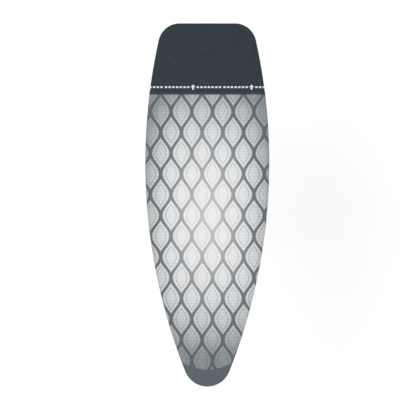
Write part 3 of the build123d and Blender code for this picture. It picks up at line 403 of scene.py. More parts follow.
# Heat-resistant twill: dark slate with a row of white dashes and arrows that point to the heel
HEAT_CLOTH = (48, 59, 65)
HEAT_LIGHTER = (60, 72, 78)
MARK_WHITE = (240, 241, 241)
MARK_ROW_Y = 0.4368
MARK_START_X = -0.053
MARK_INK_LEAST = 0.82
MARK_INK_MORE = 0.25
ARROW_PITCH = 0.217
ARROW_TOP = 0.0098
ARROW_HEAD_BASE = -0.0002
ARROW_HEAD_SLOPE = 0.92
ARROW_STEM_HALF = 0.0034
ARROW_STEM_LENGTH = 0.0092
DASH_PITCH = 0.0137
DASH_HALF = 0.0044
DASH_HALF_HEIGHT = 0.0032
DASH_CLEARANCE = 0.0135
EDGE = 0.0003
TWILL_CLOUDS = 0.5
TWILL_THREADS = 0.22

twill = Paint("heat_twill", roughness=0.78, sheen=0.02, specular=0.10, flat_cut=True)
up = twill.y - MARK_ROW_Y
aside = (twill.x - MARK_START_X).off_middle(ARROW_PITCH).size()
head = (up * -ARROW_HEAD_SLOPE + ARROW_TOP * ARROW_HEAD_SLOPE - aside).over(0.0, EDGE)
head = head * up.over(ARROW_HEAD_BASE, EDGE)
stem = aside.under(ARROW_STEM_HALF, EDGE)
stem = stem * (up + ARROW_STEM_LENGTH / 2).size().under(ARROW_STEM_LENGTH / 2, EDGE)
dash = (aside - DASH_CLEARANCE - DASH_HALF).off_middle(DASH_PITCH).size().under(DASH_HALF, EDGE)
dash = dash * up.size().under(DASH_HALF_HEIGHT, EDGE) * aside.over(DASH_CLEARANCE, EDGE)
marks = head.run("MAXIMUM", stem).run("MAXIMUM", dash)
mark_ink = twill.noise(bumps=700, detail=2.0) * MARK_INK_MORE + MARK_INK_LEAST
twill_weave = weave(twill, slope=0.8)
lighter = twill.noise(bumps=55, detail=4.0).ramp(low=0.3, high=0.85) * TWILL_CLOUDS
lighter = lighter + (twill_weave - WEAVE_MEAN) * TWILL_THREADS
dark = twill.blend(HEAT_CLOTH, HEAT_LIGHTER, lighter.held())
twill.colour(twill.blend(dark, MARK_WHITE, marks * mark_ink.run("MINIMUM", 1.0)))
twill.bump(twill_weave, THREAD_RELIEF, THREAD_STRENGTH)

# Needled felt: fibres that lie both ways, with darker flecks
FELT_GREY = (150, 149, 146)
FELT_PALE = (188, 187, 183)
FELT_FLECK = (86, 96, 110)
FELT_FLECK_SHARE = 0.55
felt = Paint("needled_felt", roughness=0.95, sheen=0.1, specular=0.15)
fibres = felt.noise(bumps=600, detail=5.0, stretch=(1.0, 0.25, 1.0)) * 0.5
fibres = fibres + felt.noise(bumps=600, detail=5.0, stretch=(0.25, 1.0, 1.0)) * 0.5
flecks = felt.cells(points=170).ramp(low=0.16, high=0.08) * FELT_FLECK_SHARE
felt_base = felt.blend(FELT_GREY, FELT_PALE, fibres.ramp(low=0.35, high=0.65))
felt.colour(felt.blend(felt_base, FELT_FLECK, flecks))
felt.bump(fibres, depth=0.0008, strength=0.8)

# Open-celled foam
FOAM_CREAM = (208, 200, 176)
FOAM_PALE = (232, 226, 206)
foam = Paint("open_foam", roughness=0.9, specular=0.2)
pores = foam.cells(points=700)
foam.colour(foam.blend(FOAM_CREAM, FOAM_PALE, pores.ramp(low=0.1, high=0.5)))
foam.bump(pores, depth=0.0006, strength=0.7)

# Ribbed tape of the hem's casing
TAPE_SLATE = (70, 79, 84)
TAPE_PALE = (92, 101, 106)
TAPE_SLANT = 0.7
TAPE_RIB = 0.0016
TAPE_RIB_UPRIGHT = 0.0014
tape = Paint("hem_tape", roughness=0.82, sheen=0.03, specular=0.15)
tape_ribs = (tape.x + tape.y * TAPE_SLANT).wave(TAPE_RIB) * 0.5
tape_ribs = tape_ribs + tape.z.wave(TAPE_RIB_UPRIGHT) * 0.5
tape_share = (tape_ribs + tape.noise(bumps=300, detail=3.0)).ramp(low=-0.4, high=1.6)
tape.colour(tape.blend(TAPE_SLATE, TAPE_PALE, tape_share))
tape.bump(tape_ribs, depth=0.00025, strength=0.7)

# Braided elastic
ELASTIC_GREY = (196, 196, 192)
ELASTIC_PALE = (228, 228, 224)
BRAID_PITCH = 0.0030
elastic = Paint("braided_elastic", roughness=0.75)
braid = (elastic.x + elastic.y).wave(BRAID_PITCH) * (elastic.x - elastic.y).wave(BRAID_PITCH)
elastic.colour(elastic.blend(ELASTIC_GREY, ELASTIC_PALE, braid.ramp(low=-0.5, high=0.5)))
elastic.bump(braid, depth=0.0003, strength=0.8)

# Satin metallic powder coat with a faint orange peel and a little handling wear
COAT_CLOUDS = 0.55
COAT_SCUFFED = (150, 152, 154)
COAT_SCUFF_SHARE = 0.22


def powder_coat(name, base, light):
    paint = Paint(name, roughness=0.40, metallic=0.45)
    cloud = paint.noise(bumps=14, detail=4.0) * COAT_CLOUDS
    cloud = cloud + paint.noise(bumps=2600, detail=1.0) * (1 - COAT_CLOUDS)
    scuffs = paint.noise(bumps=26, detail=6.0, stretch=(1.0, 1.0, 0.35)).ramp(low=0.60, high=0.74)
    coat = paint.blend(base, light, cloud.ramp(low=0.3, high=0.7))
    paint.colour(paint.blend(coat, COAT_SCUFFED, scuffs * COAT_SCUFF_SHARE))
    paint.rough(low=0.34, high=0.52, share=paint.noise(bumps=90, detail=4.0))
    paint.bump(paint.noise(bumps=850, detail=2.0), depth=0.00010, strength=0.5)
    return paint


frame_coat = powder_coat("frame_powder_coat", base=(176, 178, 180), light=(198, 200, 201))
leg_coat = powder_coat("leg_powder_coat", base=(182, 184, 186), light=(205, 207, 208))
mesh_coat = powder_coat("mesh_powder_coat", base=(168, 170, 172), light=(192, 194, 195))

# Zinc plate with a drawn grain
ZINC_GREY = (172, 174, 178)
ZINC_PALE = (212, 213, 212)
ZINC_DRAWN = 0.6
zinc = Paint("zinc_plate", roughness=0.3, metallic=1.0)
grain = zinc.noise(bumps=900, detail=3.0, stretch=(0.15, 1.0, 1.0)) * ZINC_DRAWN
grain = grain + zinc.noise(bumps=160, detail=3.0) * (1 - ZINC_DRAWN)
zinc.colour(zinc.blend(ZINC_GREY, ZINC_PALE, grain.ramp(low=0.3, high=0.7)))
zinc.rough(low=0.24, high=0.46, share=grain)
zinc.bump(grain, depth=0.00005, strength=0.4)

# Plastics, threads and welds
SPECKLE_CLOUDS = 0.6
SPECKLE_CLOUD_SCALE = 0.06
SPECKLE_FLECK_SCALE = 0.5
SPECKLE_STRENGTH = 0.6


def speckled(name, base, fleck, roughness, bumps, depth, metallic=0.0, sheen=0.0):
    """A material with two scales of colour variation and a fine relief of so many bumps a metre."""
    paint = Paint(name, roughness, metallic, sheen)
    share = paint.noise(bumps * SPECKLE_CLOUD_SCALE, detail=3.0) * SPECKLE_CLOUDS
    share = share + paint.noise(bumps * SPECKLE_FLECK_SCALE, detail=2.0) * (1 - SPECKLE_CLOUDS)
    paint.colour(paint.blend(base, fleck, share.ramp(low=0.25, high=0.75)))
    paint.bump(paint.noise(bumps, detail=3.0), depth, SPECKLE_STRENGTH)
    return paint


dark_plastic = speckled(
    "moulded_dark_plastic", (38, 42, 46), (54, 59, 63), roughness=0.52, bumps=1500, depth=0.00010
)
grip_plastic = speckled(
    "grip_plastic", (78, 88, 94), (96, 106, 111), roughness=0.62, bumps=1100, depth=0.00018
)
bush_plastic = speckled(
    "bush_nylon", (222, 221, 214), (236, 235, 229), roughness=0.38, bumps=700, depth=0.00006
)
thread_look = {"roughness": 0.8, "bumps": 2600, "depth": 0.00012, "sheen": 0.2}
thread_dark = speckled("dark_thread", (84, 93, 98), (118, 127, 131), **thread_look)
thread_light = speckled("light_thread", (198, 200, 200), (226, 227, 226), **thread_look)
weld_look = {"roughness": 0.45, "bumps": 600, "depth": 0.00020, "metallic": 0.45}
weld_metal = speckled("coated_weld", (170, 172, 174), (196, 198, 199), **weld_look)

slot_paints = {
    "cover_print": cotton,
    "cover_heat": twill,
    "foam": foam,
    "felt": felt,
    "hem_tape": tape,
    "elastic": elastic,
    "mesh_steel": mesh_coat,
    "frame_paint": frame_coat,
    "leg_paint": leg_coat,
    "zinc_steel": zinc,
    "dark_plastic": dark_plastic,
    "grip_plastic": grip_plastic,
    "bush_plastic": bush_plastic,
}
for piece in frame["record"]["subparts"]:
    node = nodes[piece["node"]]
    node.data.materials.clear()
    node.data.materials.append(slot_paints[piece["material_slot"]].material)

# Meshes
SAME_POINT = 1e-6
NO_LENGTH = 1e-7


def mesh_object(name, points, faces, paint, body):
    """A new smooth piece in the part's frame, riding on a body."""
    mesh = bpy.data.meshes.new(name)
    mesh.from_pydata(points, [], faces)
    mesh.validate()
    for polygon in mesh.polygons:
        polygon.use_smooth = True
    mesh.materials.append(paint.material)
    made = bpy.data.objects.new(name, mesh)
    scene.collection.objects.link(made)
    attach(made, body)
    return made


def ring_faces(rings, count, closed=False):
    """Quads between rings of count points each; closed joins the last ring to the first."""
    faces = []
    for ring in range(rings if closed else rings - 1):
        here, there = ring * count, (ring + 1) % rings * count
        for step in range(count):
            after = (step + 1) % count
            faces.append((here + step, here + after, there + after, there + step))
    return faces


def tidy_mesh(made, up_test=None):
    """Joins doubled points and turns all faces out; the face nearest to up_test has to look up."""
    work = bmesh.new()
    work.from_mesh(made.data)
    bmesh.ops.remove_doubles(work, verts=work.verts, dist=SAME_POINT)
    bmesh.ops.dissolve_degenerate(work, dist=NO_LENGTH, edges=work.edges)
    bmesh.ops.recalc_face_normals(work, faces=work.faces)
    if up_test:
        spot = Vector(up_test)
        nearest = min(work.faces, key=lambda face: (face.calc_center_median() - spot).length)
        if nearest.normal.z < 0:
            bmesh.ops.reverse_faces(work, faces=work.faces)
    work.to_mesh(made.data)
    work.free()


# Flat faces: rings drawn in from the outline, and then towards a line along the board
SPINE_NOSE_Y = nose_centre_y
SPINE_SHORT_OF_CORNER = 0.03
SPINE_HEEL_Y = corner_y - SPINE_SHORT_OF_CORNER
FLAT_SHARES = (0.12, 0.26, 0.42, 0.58, 0.74, 0.88, 1.0)


def spine_ring(around, inset, z, share):
    """An inset ring of the outline, moved by share of its way to the line along the board."""
    ring = []
    for (x, y), (out_x, out_y), _ in around:
        x -= out_x * inset
        y -= out_y * inset
        spine_y = min(max(y, SPINE_NOSE_Y), SPINE_HEEL_Y)
        ring.append((x * (1 - share), y + (spine_y - y) * share, z))
    return ring


def flat_rings(around, z, insets):
    """Rings that fill a flat face at height z."""
    rings = [spine_ring(around, inset, z, 0.0) for inset in insets]
    return rings + [spine_ring(around, insets[-1], z, share) for share in FLAT_SHARES]


# Pads: felt below and foam above, with the foam's top edge rounded
PAD_STEPS = 480
PAD_FLAT_INSETS = (0.030, 0.050, 0.068)
PAD_EDGE_ROUND = COVER_TOP_RADIUS - PAD_INSET
FELT_EDGE = ((0.0012, 0.0), (0.0003, 0.0005), (0.0, 0.0012))
ROUND_ANGLES = [math.radians(angle) for angle in (0, 18, 36, 54, 72, 90)]


def slab(name, profile, paint):
    """A closed pad of the board's outline with this (inset, height) profile, from bottom to top."""
    around = outline_points(PAD_STEPS)
    rings = flat_rings(around, profile[0][1], PAD_FLAT_INSETS)[::-1]
    rings += [spine_ring(around, inset, z, 0.0) for inset, z in profile]
    rings += flat_rings(around, profile[-1][1], PAD_FLAT_INSETS)
    points = [point for ring in rings for point in ring]
    made = mesh_object(name, points, ring_faces(len(rings), PAD_STEPS), paint, "board")
    tidy_mesh(made, (0, 0, profile[-1][1]))
    return made


felt_profile = [(PAD_INSET + inset, felt_bottom + rise) for inset, rise in FELT_EDGE]
foam_profile = []
round_low = foam_top - PAD_EDGE_ROUND
for angle in ROUND_ANGLES:
    height = round_low + PAD_EDGE_ROUND * math.sin(angle)
    inset = PAD_INSET + PAD_EDGE_ROUND * (1 - math.cos(angle))
    profile = felt_profile if height < felt_top else foam_profile
    profile.append((inset, height))
split_angle = math.asin((felt_top - round_low) / PAD_EDGE_ROUND)
split_inset = PAD_INSET + PAD_EDGE_ROUND * (1 - math.cos(split_angle))
felt_profile.append((split_inset, felt_top))
foam_profile.insert(0, (split_inset, felt_top))
felt_layer = slab("felt_layer", felt_profile, felt)
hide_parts("felt_pad")
foam_layer = slab("foam_layer", foam_profile, foam)
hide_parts("foam_pad")

# Gathers: the elastic draws the hem in, most where the outline bends most
COVER_STEPS = 1440
BEND_WINDOW = 26
FULL_BEND = 1 / NOSE_RADIUS
PLEAT_STRAIGHT = 0.019
PLEAT_BENT = 0.0125
PLEAT_WANDER = ((0.16, 17, 0.7), (0.12, 41, 2.1))
PLEAT_DEPTH_STRAIGHT = 0.0013
PLEAT_DEPTH_BENT = 0.0034
PLEAT_LEAST = 0.55
PLEAT_LEAN = 0.9
PLEAT_SHARPNESS = 1.25
PLEAT_SEED = 11
draws = random.Random(PLEAT_SEED)
around = outline_points(COVER_STEPS)
bends = [bend for _, _, bend in around]
tight = []
for step in range(COVER_STEPS):
    window = range(step - BEND_WINDOW, step + BEND_WINDOW + 1)
    mean_bend = sum(bends[k % COVER_STEPS] for k in window) / len(window)
    tight.append(min(mean_bend / FULL_BEND, 1.0))
pleat_counts = []
running = 0.0
for step in range(COVER_STEPS):
    unsteady = 1.0
    for share, waves, phase in PLEAT_WANDER:
        unsteady += share * math.sin(waves * (FULL_TURN * step / COVER_STEPS) + phase)
    pitch = PLEAT_STRAIGHT + (PLEAT_BENT - PLEAT_STRAIGHT) * tight[step]
    pleat_counts.append(running)
    running += 2 * half_round / COVER_STEPS / pitch * unsteady
pleat_total = round(running)
pleat_sizes = [PLEAT_LEAST + (1 - PLEAT_LEAST) * draws.random() for _ in range(pleat_total)]
pleats = []
for step in range(COVER_STEPS):
    count = pleat_counts[step] * pleat_total / running
    which = int(count) % pleat_total
    phase = FULL_TURN * (count - int(count)) ** PLEAT_LEAN
    swell = (0.5 - 0.5 * math.cos(phase)) ** PLEAT_SHARPNESS
    depth = PLEAT_DEPTH_STRAIGHT + (PLEAT_DEPTH_BENT - PLEAT_DEPTH_STRAIGHT) * tight[step]
    pleats.append(swell * depth * pleat_sizes[which])

# Cover profile from the hem's inner edge round to the top: inset, height, and how far a pleat goes
# out and up. Tucks are short of the hem's width and under it, pleats on the hem go by the inset in
# millimetres, on the fold by the angle in degrees, and on the side by the height in millimetres.
HEM_TUCKS = ((0.0006, 0.0007, 0.0), (0.0030, 0.0003, 1.0))
HEM_PLEATS = (
    (33, 1.0), (29, 0.97), (25, 0.90), (21, 0.80), (17, 0.68), (13, 0.54), (9, 0.40), (5, 0.28)
)
FOLD_PLEATS = ((22, 0.25), (45, 0.22), (68, 0.19), (90, 0.16))
SIDE_PLEATS = ((3.5, 0.12), (7.0, 0.07), (11.0, 0.03))
fold_z = hem_bottom + HEM_FOLD_RADIUS
round_z = top_z - COVER_TOP_RADIUS
cover_profile = []
for short, under, share in HEM_TUCKS:
    cover_profile.append((HEM_WIDTH - short, hem_bottom - under, 0.0, -share))
for inset_mm, share in HEM_PLEATS:
    cover_profile.append((inset_mm * MM, hem_bottom, 0.0, -share))
for angle_deg, share in FOLD_PLEATS:
    angle = math.radians(angle_deg)
    inset = HEM_FOLD_RADIUS * (1 - math.sin(angle))
    height = fold_z - HEM_FOLD_RADIUS * math.cos(angle)
    cover_profile.append((inset, height, share * math.sin(angle), -share * math.cos(angle)))
for height_mm, share in SIDE_PLEATS:
    cover_profile.append((0.0, fold_z + height_mm * MM, share, 0.0))
for angle in ROUND_ANGLES:
    inset = COVER_TOP_RADIUS * (1 - math.cos(angle))
    cover_profile.append((inset, round_z + COVER_TOP_RADIUS * math.sin(angle), 0.0, 0.0))

# How far each row of the profile lies past the flat top in the cloth's flat cut
cut_distances = [0.0]
for row, lower_row in zip(cover_profile[::-1], cover_profile[-2::-1]):
    run = math.hypot(lower_row[0] - row[0], lower_row[1] - row[1])
    cut_distances.insert(0, cut_distances[0] + run)

# Cover: two panels that meet at the seam, each with its own thickness
COVER_FLAT_INSETS = (0.014, 0.022, 0.034, 0.050, 0.068)
CLOTH_THICKNESS = 0.0008
SEAM_BAND = 0.011
SEAM_RISE = 0.0006
SEAM_SHARPNESS = 6
UP_TEST_OFF_SEAM = 0.1


def cover_point(step, inset, z, out, up):
    """A point of the cover's outer face, with its pleat."""
    (x, y), (out_x, out_y), _ = around[step % COVER_STEPS]
    pleat = pleats[step % COVER_STEPS]
    reach = pleat * out - inset
    return (x + out_x * reach, y + out_y * reach, z + pleat * up)


def cover_piece(name, keep_heel, paint):
    """The cover's outer face on one side of the seam, with its place in the flat cut."""
    rings = [[cover_point(step, *row) for step in range(COVER_STEPS)] for row in cover_profile]
    cut_rings = [spine_ring(around, COVER_TOP_RADIUS - past, 0.0, 0.0) for past in cut_distances]
    middle_rings = flat_rings(around, top_z, COVER_FLAT_INSETS)
    rings += middle_rings
    cut_rings += middle_rings
    points = [point for ring in rings for point in ring]
    cut_values = [value for ring in cut_rings for x, y, _ in ring for value in (x, y, 0.0)]
    made = mesh_object(name, points, ring_faces(len(rings), COVER_STEPS), paint, "board")
    flat_cut = made.data.attributes.new(FLAT_CUT, "FLOAT_VECTOR", "POINT")
    flat_cut.data.foreach_set("vector", cut_values)
    work = bmesh.new()
    work.from_mesh(made.data)
    bmesh.ops.remove_doubles(work, verts=work.verts, dist=SAME_POINT)
    bmesh.ops.bisect_plane(
        work,
        geom=work.verts[:] + work.edges[:] + work.faces[:],
        plane_co=(0, SEAM_Y, 0),
        plane_no=(0, 1, 0),
        clear_inner=keep_heel,
        clear_outer=not keep_heel,
    )
    work.to_mesh(made.data)
    work.free()
    tidy_mesh(made, (0, SEAM_Y + UP_TEST_OFF_SEAM * (1 if keep_heel else -1), top_z))
    return made


cover_main = cover_piece("printed_cover", False, cotton)
cover_heat = cover_piece("heat_cover", True, twill)

# The heat panel's edge is folded double along the seam
heat_vertices = cover_heat.data.vertices
for vertex, normal in zip(heat_vertices, [vertex.normal.copy() for vertex in heat_vertices]):
    past = vertex.co.y - SEAM_Y
    if past < SEAM_BAND:
        vertex.co += normal * SEAM_RISE * (1 - max(past / SEAM_BAND, 0.0) ** SEAM_SHARPNESS)
for cover in (cover_main, cover_heat):
    skin = cover.modifiers.new("thickness", "SOLIDIFY")
    skin.thickness = CLOTH_THICKNESS
    skin.offset = -1.0
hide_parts("cover_main")
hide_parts("cover_heat_zone")


def tube_loop(name, path, sides, half_sizes, paint):
    """A tube along a loop of (x, y, z, out x, out y); half_sizes gives its width and height."""
    points = []
    for step, (x, y, z, out_x, out_y) in enumerate(path):
        wide, tall = half_sizes(step)
        for side in range(sides):
            angle = FULL_TURN * side / sides
            reach = wide * math.cos(angle)
            points.append((x + out_x * reach, y + out_y * reach, z + tall * math.sin(angle)))
    faces = ring_faces(len(path), sides, closed=True)
    made = mesh_object(name, points, faces, paint, "board")
    tidy_mesh(made)
    return made


# Hem casing: a tape tube along the hem's inner edge that swells and pinches with the pleats
CASING_SIDES = 14
CASING_OUT = 0.25
CASING_DROP = 0.12
CASING_PINCH = 0.26
CASING_PINCH_UPRIGHT = 0.6
CASING_SLACK = 0.0003
CASING_SLACK_UPRIGHT = 0.0002
binding_radius = (binding_high.z - binding_low.z) / 2
casing_path = []
for pleat, ((x, y), (out_x, out_y), _) in zip(pleats, around):
    inset = HEM_WIDTH - CASING_OUT * pleat
    z = binding_z - CASING_DROP * pleat
    casing_path.append((x - out_x * inset, y - out_y * inset, z, out_x, out_y))


def casing_size(step):
    pinch = pleats[step] * CASING_PINCH
    tall = binding_radius - CASING_SLACK_UPRIGHT - CASING_PINCH_UPRIGHT * pinch
    return binding_radius - CASING_SLACK - pinch, tall


casing = tube_loop("hem_casing", casing_path, CASING_SIDES, casing_size, tape)
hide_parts("hem_binding")

# Elastic inside the casing, stretched thin
ELASTIC_STEPS = 480
ELASTIC_SIDES = 10
ELASTIC_THINNING = 0.76
elastic_low, elastic_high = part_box("elastic_cord")
stretched_radius = (elastic_high.z - elastic_low.z) / 2 * ELASTIC_THINNING
elastic_path = []
for (x, y), (out_x, out_y), _ in outline_points(ELASTIC_STEPS):
    elastic_path.append((x - out_x * HEM_WIDTH, y - out_y * HEM_WIDTH, binding_z, out_x, out_y))


def elastic_size(step):
    return stretched_radius, stretched_radius


elastic_loop = tube_loop(
    "elastic_loop", elastic_path, ELASTIC_SIDES, elastic_size, elastic
)
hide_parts("elastic_cord")

# Worms: stitches, weld beads, ribs and wire
WORM_SIDES = 8
WORM_END_GIRTH = 0.45
RIPPLE_LENGTH = 0.0034


def worm_mesh(name, paths, radius, paint, body, ripple=0.0, sides=WORM_SIDES):
    """Round worms along paths of points, each path with whether it is closed."""
    points, faces = [], []
    for path, closed in paths:
        count = len(path)
        first = len(points)
        travelled = 0.0
        side = None
        for step, point in enumerate(path):
            before = path[step - 1] if closed or step else point
            after = path[(step + 1) % count] if closed or step + 1 < count else point
            way = (after - before).normalized()
            side = side or way.orthogonal()
            side = (side - way * side.dot(way)).normalized()
            over = side.cross(way)
            travelled += (point - before).length
            girth = radius * (1 + ripple * math.sin(FULL_TURN * travelled / RIPPLE_LENGTH))
            if not closed and step in (0, count - 1):
                girth = radius * WORM_END_GIRTH
            for turn in range(sides):
                angle = FULL_TURN * turn / sides
                spoke = side * (girth * math.cos(angle)) + over * (girth * math.sin(angle))
                points.append(point + spoke)
        faces += [tuple(first + k for k in face) for face in ring_faces(count, sides, closed)]
        if not closed:
            faces.append(tuple(first + k for k in reversed(range(sides))))
            faces.append(tuple(first + (count - 1) * sides + k for k in range(sides)))
    made = mesh_object(name, points, faces, paint, body)
    tidy_mesh(made)
    return made


# Stitches
STITCH_PARTS = 4
STITCH_RADIUS = 0.00042
STITCH_LIFT = 0.00045
SHORTEST_RUN = 1e-9


def stitches(line, normals, length, gap):
    """Short stitches along a line of points, each a low arch on the cloth."""
    lengths = [0.0]
    for before, after in zip(line, line[1:]):
        lengths.append(lengths[-1] + (after - before).length)

    def at(distance):
        high = min(max(bisect.bisect_right(lengths, distance), 1), len(lengths) - 1)
        low = high - 1
        share = (distance - lengths[low]) / max(lengths[high] - lengths[low], SHORTEST_RUN)
        normal = normals[low].lerp(normals[high], share).normalized()
        return line[low].lerp(line[high], share), normal

    found = []
    start = 0.0
    while start + length < lengths[-1]:
        path = []
        for part in range(STITCH_PARTS + 1):
            point, normal = at(start + length * part / STITCH_PARTS)
            path.append(point + normal * STITCH_LIFT * math.sin(math.pi * part / STITCH_PARTS))
        found.append((path, False))
        start += length + gap
    return found


def mirrored(vector):
    return Vector((-vector.x, vector.y, vector.z))


# Two rows of topstitching hold the heat panel's folded edge down
SEAM_STITCH_LENGTH = 0.0036
SEAM_STITCH_GAP = 0.0013
SEAM_ROWS = (0.0024, 0.0084)
SEAM_ROUND_DEGREES = range(90, -1, -6)
SEAM_ROW_END = 0.010
SEAM_TOP_PARTS = 60
seam_stitches = []
for row in SEAM_ROWS:
    row_y = SEAM_Y + row
    right = []
    for angle in map(math.radians, SEAM_ROUND_DEGREES):
        x = half_width(row_y, COVER_TOP_RADIUS * (1 - math.cos(angle)))
        z = round_z + COVER_TOP_RADIUS * math.sin(angle)
        right.append((Vector((x, row_y, z)), Vector((math.cos(angle), 0, math.sin(angle)))))
    row_end = Vector((half_width(row_y, 0), row_y, fold_z + SEAM_ROW_END))
    right.append((row_end, Vector((1, 0, 0))))
    line = [(mirrored(point), mirrored(normal)) for point, normal in reversed(right)]
    for step in range(1, SEAM_TOP_PARTS):
        x = half_width(row_y, COVER_TOP_RADIUS) * (2 * step / SEAM_TOP_PARTS - 1)
        line.append((Vector((x, row_y, top_z)), Vector((0, 0, 1))))
    line += right
    raised = [point + normal * SEAM_RISE for point, normal in line]
    normals = [normal for _, normal in line]
    seam_stitches += stitches(raised, normals, SEAM_STITCH_LENGTH, SEAM_STITCH_GAP)
seam_thread = worm_mesh(
    "seam_topstitch", seam_stitches, STITCH_RADIUS, thread_dark, "board"
)

# One row of stitching closes the casing to the hem, over the pleats
HEM_STITCH_LENGTH = 0.0042
HEM_STITCH_GAP = 0.0018
HEM_STITCH_SIDES = 6
HEM_ROW = (0.0325, hem_bottom, 0.0, -1.0)
hem_line = [Vector(cover_point(step, *HEM_ROW)) for step in range(COVER_STEPS + 1)]
hem_normals = [Vector((0, 0, -1))] * len(hem_line)
hem_stitches = stitches(hem_line, hem_normals, HEM_STITCH_LENGTH, HEM_STITCH_GAP)
hem_thread = worm_mesh(
    "hem_stitch",
    hem_stitches,
    STITCH_RADIUS,
    thread_light,
    "board",
    sides=HEM_STITCH_SIDES,
)

# Weld beads where the tubes of the legs meet
BEAD_RADIUS = 0.0017
BEAD_RIPPLE = 0.16
BEAD_STEPS = 64
ACROSS = Vector((1, 0, 0))
joint_places = {joint["name"]: Vector(joint["pos_m"]) for joint in frame["joints"]}
leg_tops = {"outer": joint_places["leg_fold"], "inner": joint_places["slider_swivel"]}


def middle(node):
    low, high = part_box(node)
    return (low + high) / 2


def half_height(node):
    low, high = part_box(node)
    return (high.z - low.z) / 2


def coped_bead(centre, along, aside, towards, end_radius, other_radius):
    """A bead round a tube's end where it is coped to the side of another tube."""
    path = []
    for step in range(BEAD_STEPS):
        angle = FULL_TURN * step / BEAD_STEPS
        off = end_radius * math.sin(angle)
        back = math.sqrt(other_radius**2 - off**2)
        path.append(centre + along * end_radius * math.cos(angle) + aside * off + towards * back)
    return path, True


for leg, leg_top in leg_tops.items():
    way = (joint_places["leg_cross"] - leg_top).normalized()
    square = way.cross(ACROSS)
    foot = middle(f"{leg}_foot_bar")
    foot_radius = half_height(f"{leg}_foot_bar")
    beads = []
    for side in ("left", "right"):
        low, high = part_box(f"{leg}_leg_tube_{side}")
        tube_radius = (high.x - low.x) / 2
        tube_x = (low.x + high.x) / 2
        centre = Vector((tube_x, foot.y, foot.z))
        beads.append(coped_bead(centre, ACROSS, square, -way, tube_radius, foot_radius))
        if leg == "inner":
            bar = middle("inner_crossbar")
            bar_radius = half_height("inner_crossbar")
            centre = Vector((tube_x, bar.y, bar.z))
            inwards = -ACROSS if tube_x > 0 else ACROSS
            beads.append(coped_bead(centre, way, square, inwards, bar_radius, tube_radius))
    worm_mesh(
        f"{leg}_leg_welds", beads, BEAD_RADIUS, weld_metal, f"{leg}_leg", BEAD_RIPPLE
    )

# Weld beads down, under and up the braces' ends at the rim
BRACE_BEAD_TOP = 0.014
BRACE_BEAD_LOW = 0.0014
BRACE_BEAD_PARTS = 8
bead_top_z = rim_bottom + BRACE_BEAD_TOP
bead_low_z = rim_bottom + BRACE_BEAD_LOW
brace_beads = []
for brace in ("heel_brace", "mid_brace", "nose_brace"):
    low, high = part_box(brace)
    down = [(low.y, bead_top_z), (low.y, bead_low_z)]
    corners = down + [(high.y, bead_low_z), (high.y, bead_top_z)]
    for sign in (-1, 1):
        path = []
        for (y0, z0), (y1, z1) in zip(corners, corners[1:]):
            for part in range(BRACE_BEAD_PARTS):
                y = y0 + (y1 - y0) * part / BRACE_BEAD_PARTS
                z = z0 + (z1 - z0) * part / BRACE_BEAD_PARTS
                path.append(Vector((sign * half_width(y, RIM_INNER_INSET), y, z)))
        brace_beads.append((path, False))
worm_mesh(
    "brace_welds", brace_beads, BEAD_RADIUS, weld_metal, "board", BEAD_RIPPLE
)

# Finger ribs round both halves of the grip
RIB_RADIUS = 0.0010
RIB_STEPS = 12
RIBS_A_SIDE = 7
RIB_FIRST = 0.018
RIB_PITCH = 0.0072
GRIP_HALF_HEIGHT = 0.010
GRIP_HALF_DEPTH = 0.009
GRIP_ROUND = 0.006
LEVER_DROP = 0.044
LEVER_TILT = math.radians(8)
lever_up = Vector((0, math.sin(LEVER_TILT), math.cos(LEVER_TILT)))
lever_out = Vector((0, -math.cos(LEVER_TILT), math.sin(LEVER_TILT)))
grip_middle = joint_places["release_lever"] - lever_up * LEVER_DROP
ribs = []
for rib in range(RIBS_A_SIDE):
    for sign in (-1, 1):
        path = []
        for quarter in range(4):
            corner_up = (GRIP_HALF_HEIGHT - GRIP_ROUND) * (1 if quarter in (0, 1) else -1)
            corner_out = (GRIP_HALF_DEPTH - GRIP_ROUND) * (1 if quarter in (0, 3) else -1)
            for part in range(RIB_STEPS):
                angle = QUARTER_TURN * quarter + QUARTER_TURN * part / RIB_STEPS
                rise = corner_up + GRIP_ROUND * math.sin(angle)
                reach = corner_out + GRIP_ROUND * math.cos(angle)
                spot = grip_middle + lever_up * rise + lever_out * reach
                path.append(spot + ACROSS * sign * (RIB_FIRST + RIB_PITCH * rib))
        ribs.append((path, True))
worm_mesh("grip_ribs", ribs, RIB_RADIUS, grip_plastic, "release_lever")

# Lever spring: a coil with closed end turns, at one fixed length; the lever presses the real spring together as it
# comes upright
SPRING_WIRE = 0.0014
SPRING_TURNS = 5
SPRING_STEPS = 36
SPRING_SIDES = 12
SPRING_CLOSED_TURNS = 0.8
SPRING_CLOSED_PITCH = 1.04
spring_low, spring_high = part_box("lever_spring")
spring_middle = (spring_low + spring_high) / 2
coil_radius = (spring_high.x - spring_low.x) / 2 - SPRING_WIRE / 2
coil_run = spring_high.y - spring_low.y - SPRING_WIRE
closed_rise = SPRING_WIRE * SPRING_CLOSED_PITCH * SPRING_CLOSED_TURNS
open_turns = SPRING_TURNS - 2 * SPRING_CLOSED_TURNS
path = []
for step in range(SPRING_TURNS * SPRING_STEPS + 1):
    turns = step / SPRING_STEPS
    rise = min(turns, SPRING_CLOSED_TURNS) / SPRING_CLOSED_TURNS * closed_rise
    last_turns = max(turns - SPRING_TURNS + SPRING_CLOSED_TURNS, 0.0)
    rise += last_turns / SPRING_CLOSED_TURNS * closed_rise
    opened = min(max(turns - SPRING_CLOSED_TURNS, 0.0), open_turns)
    rise += opened / open_turns * (coil_run - 2 * closed_rise)
    x = coil_radius * math.cos(FULL_TURN * turns)
    z = spring_middle.z + coil_radius * math.sin(FULL_TURN * turns)
    path.append(Vector((x, spring_low.y + SPRING_WIRE / 2 + rise, z)))
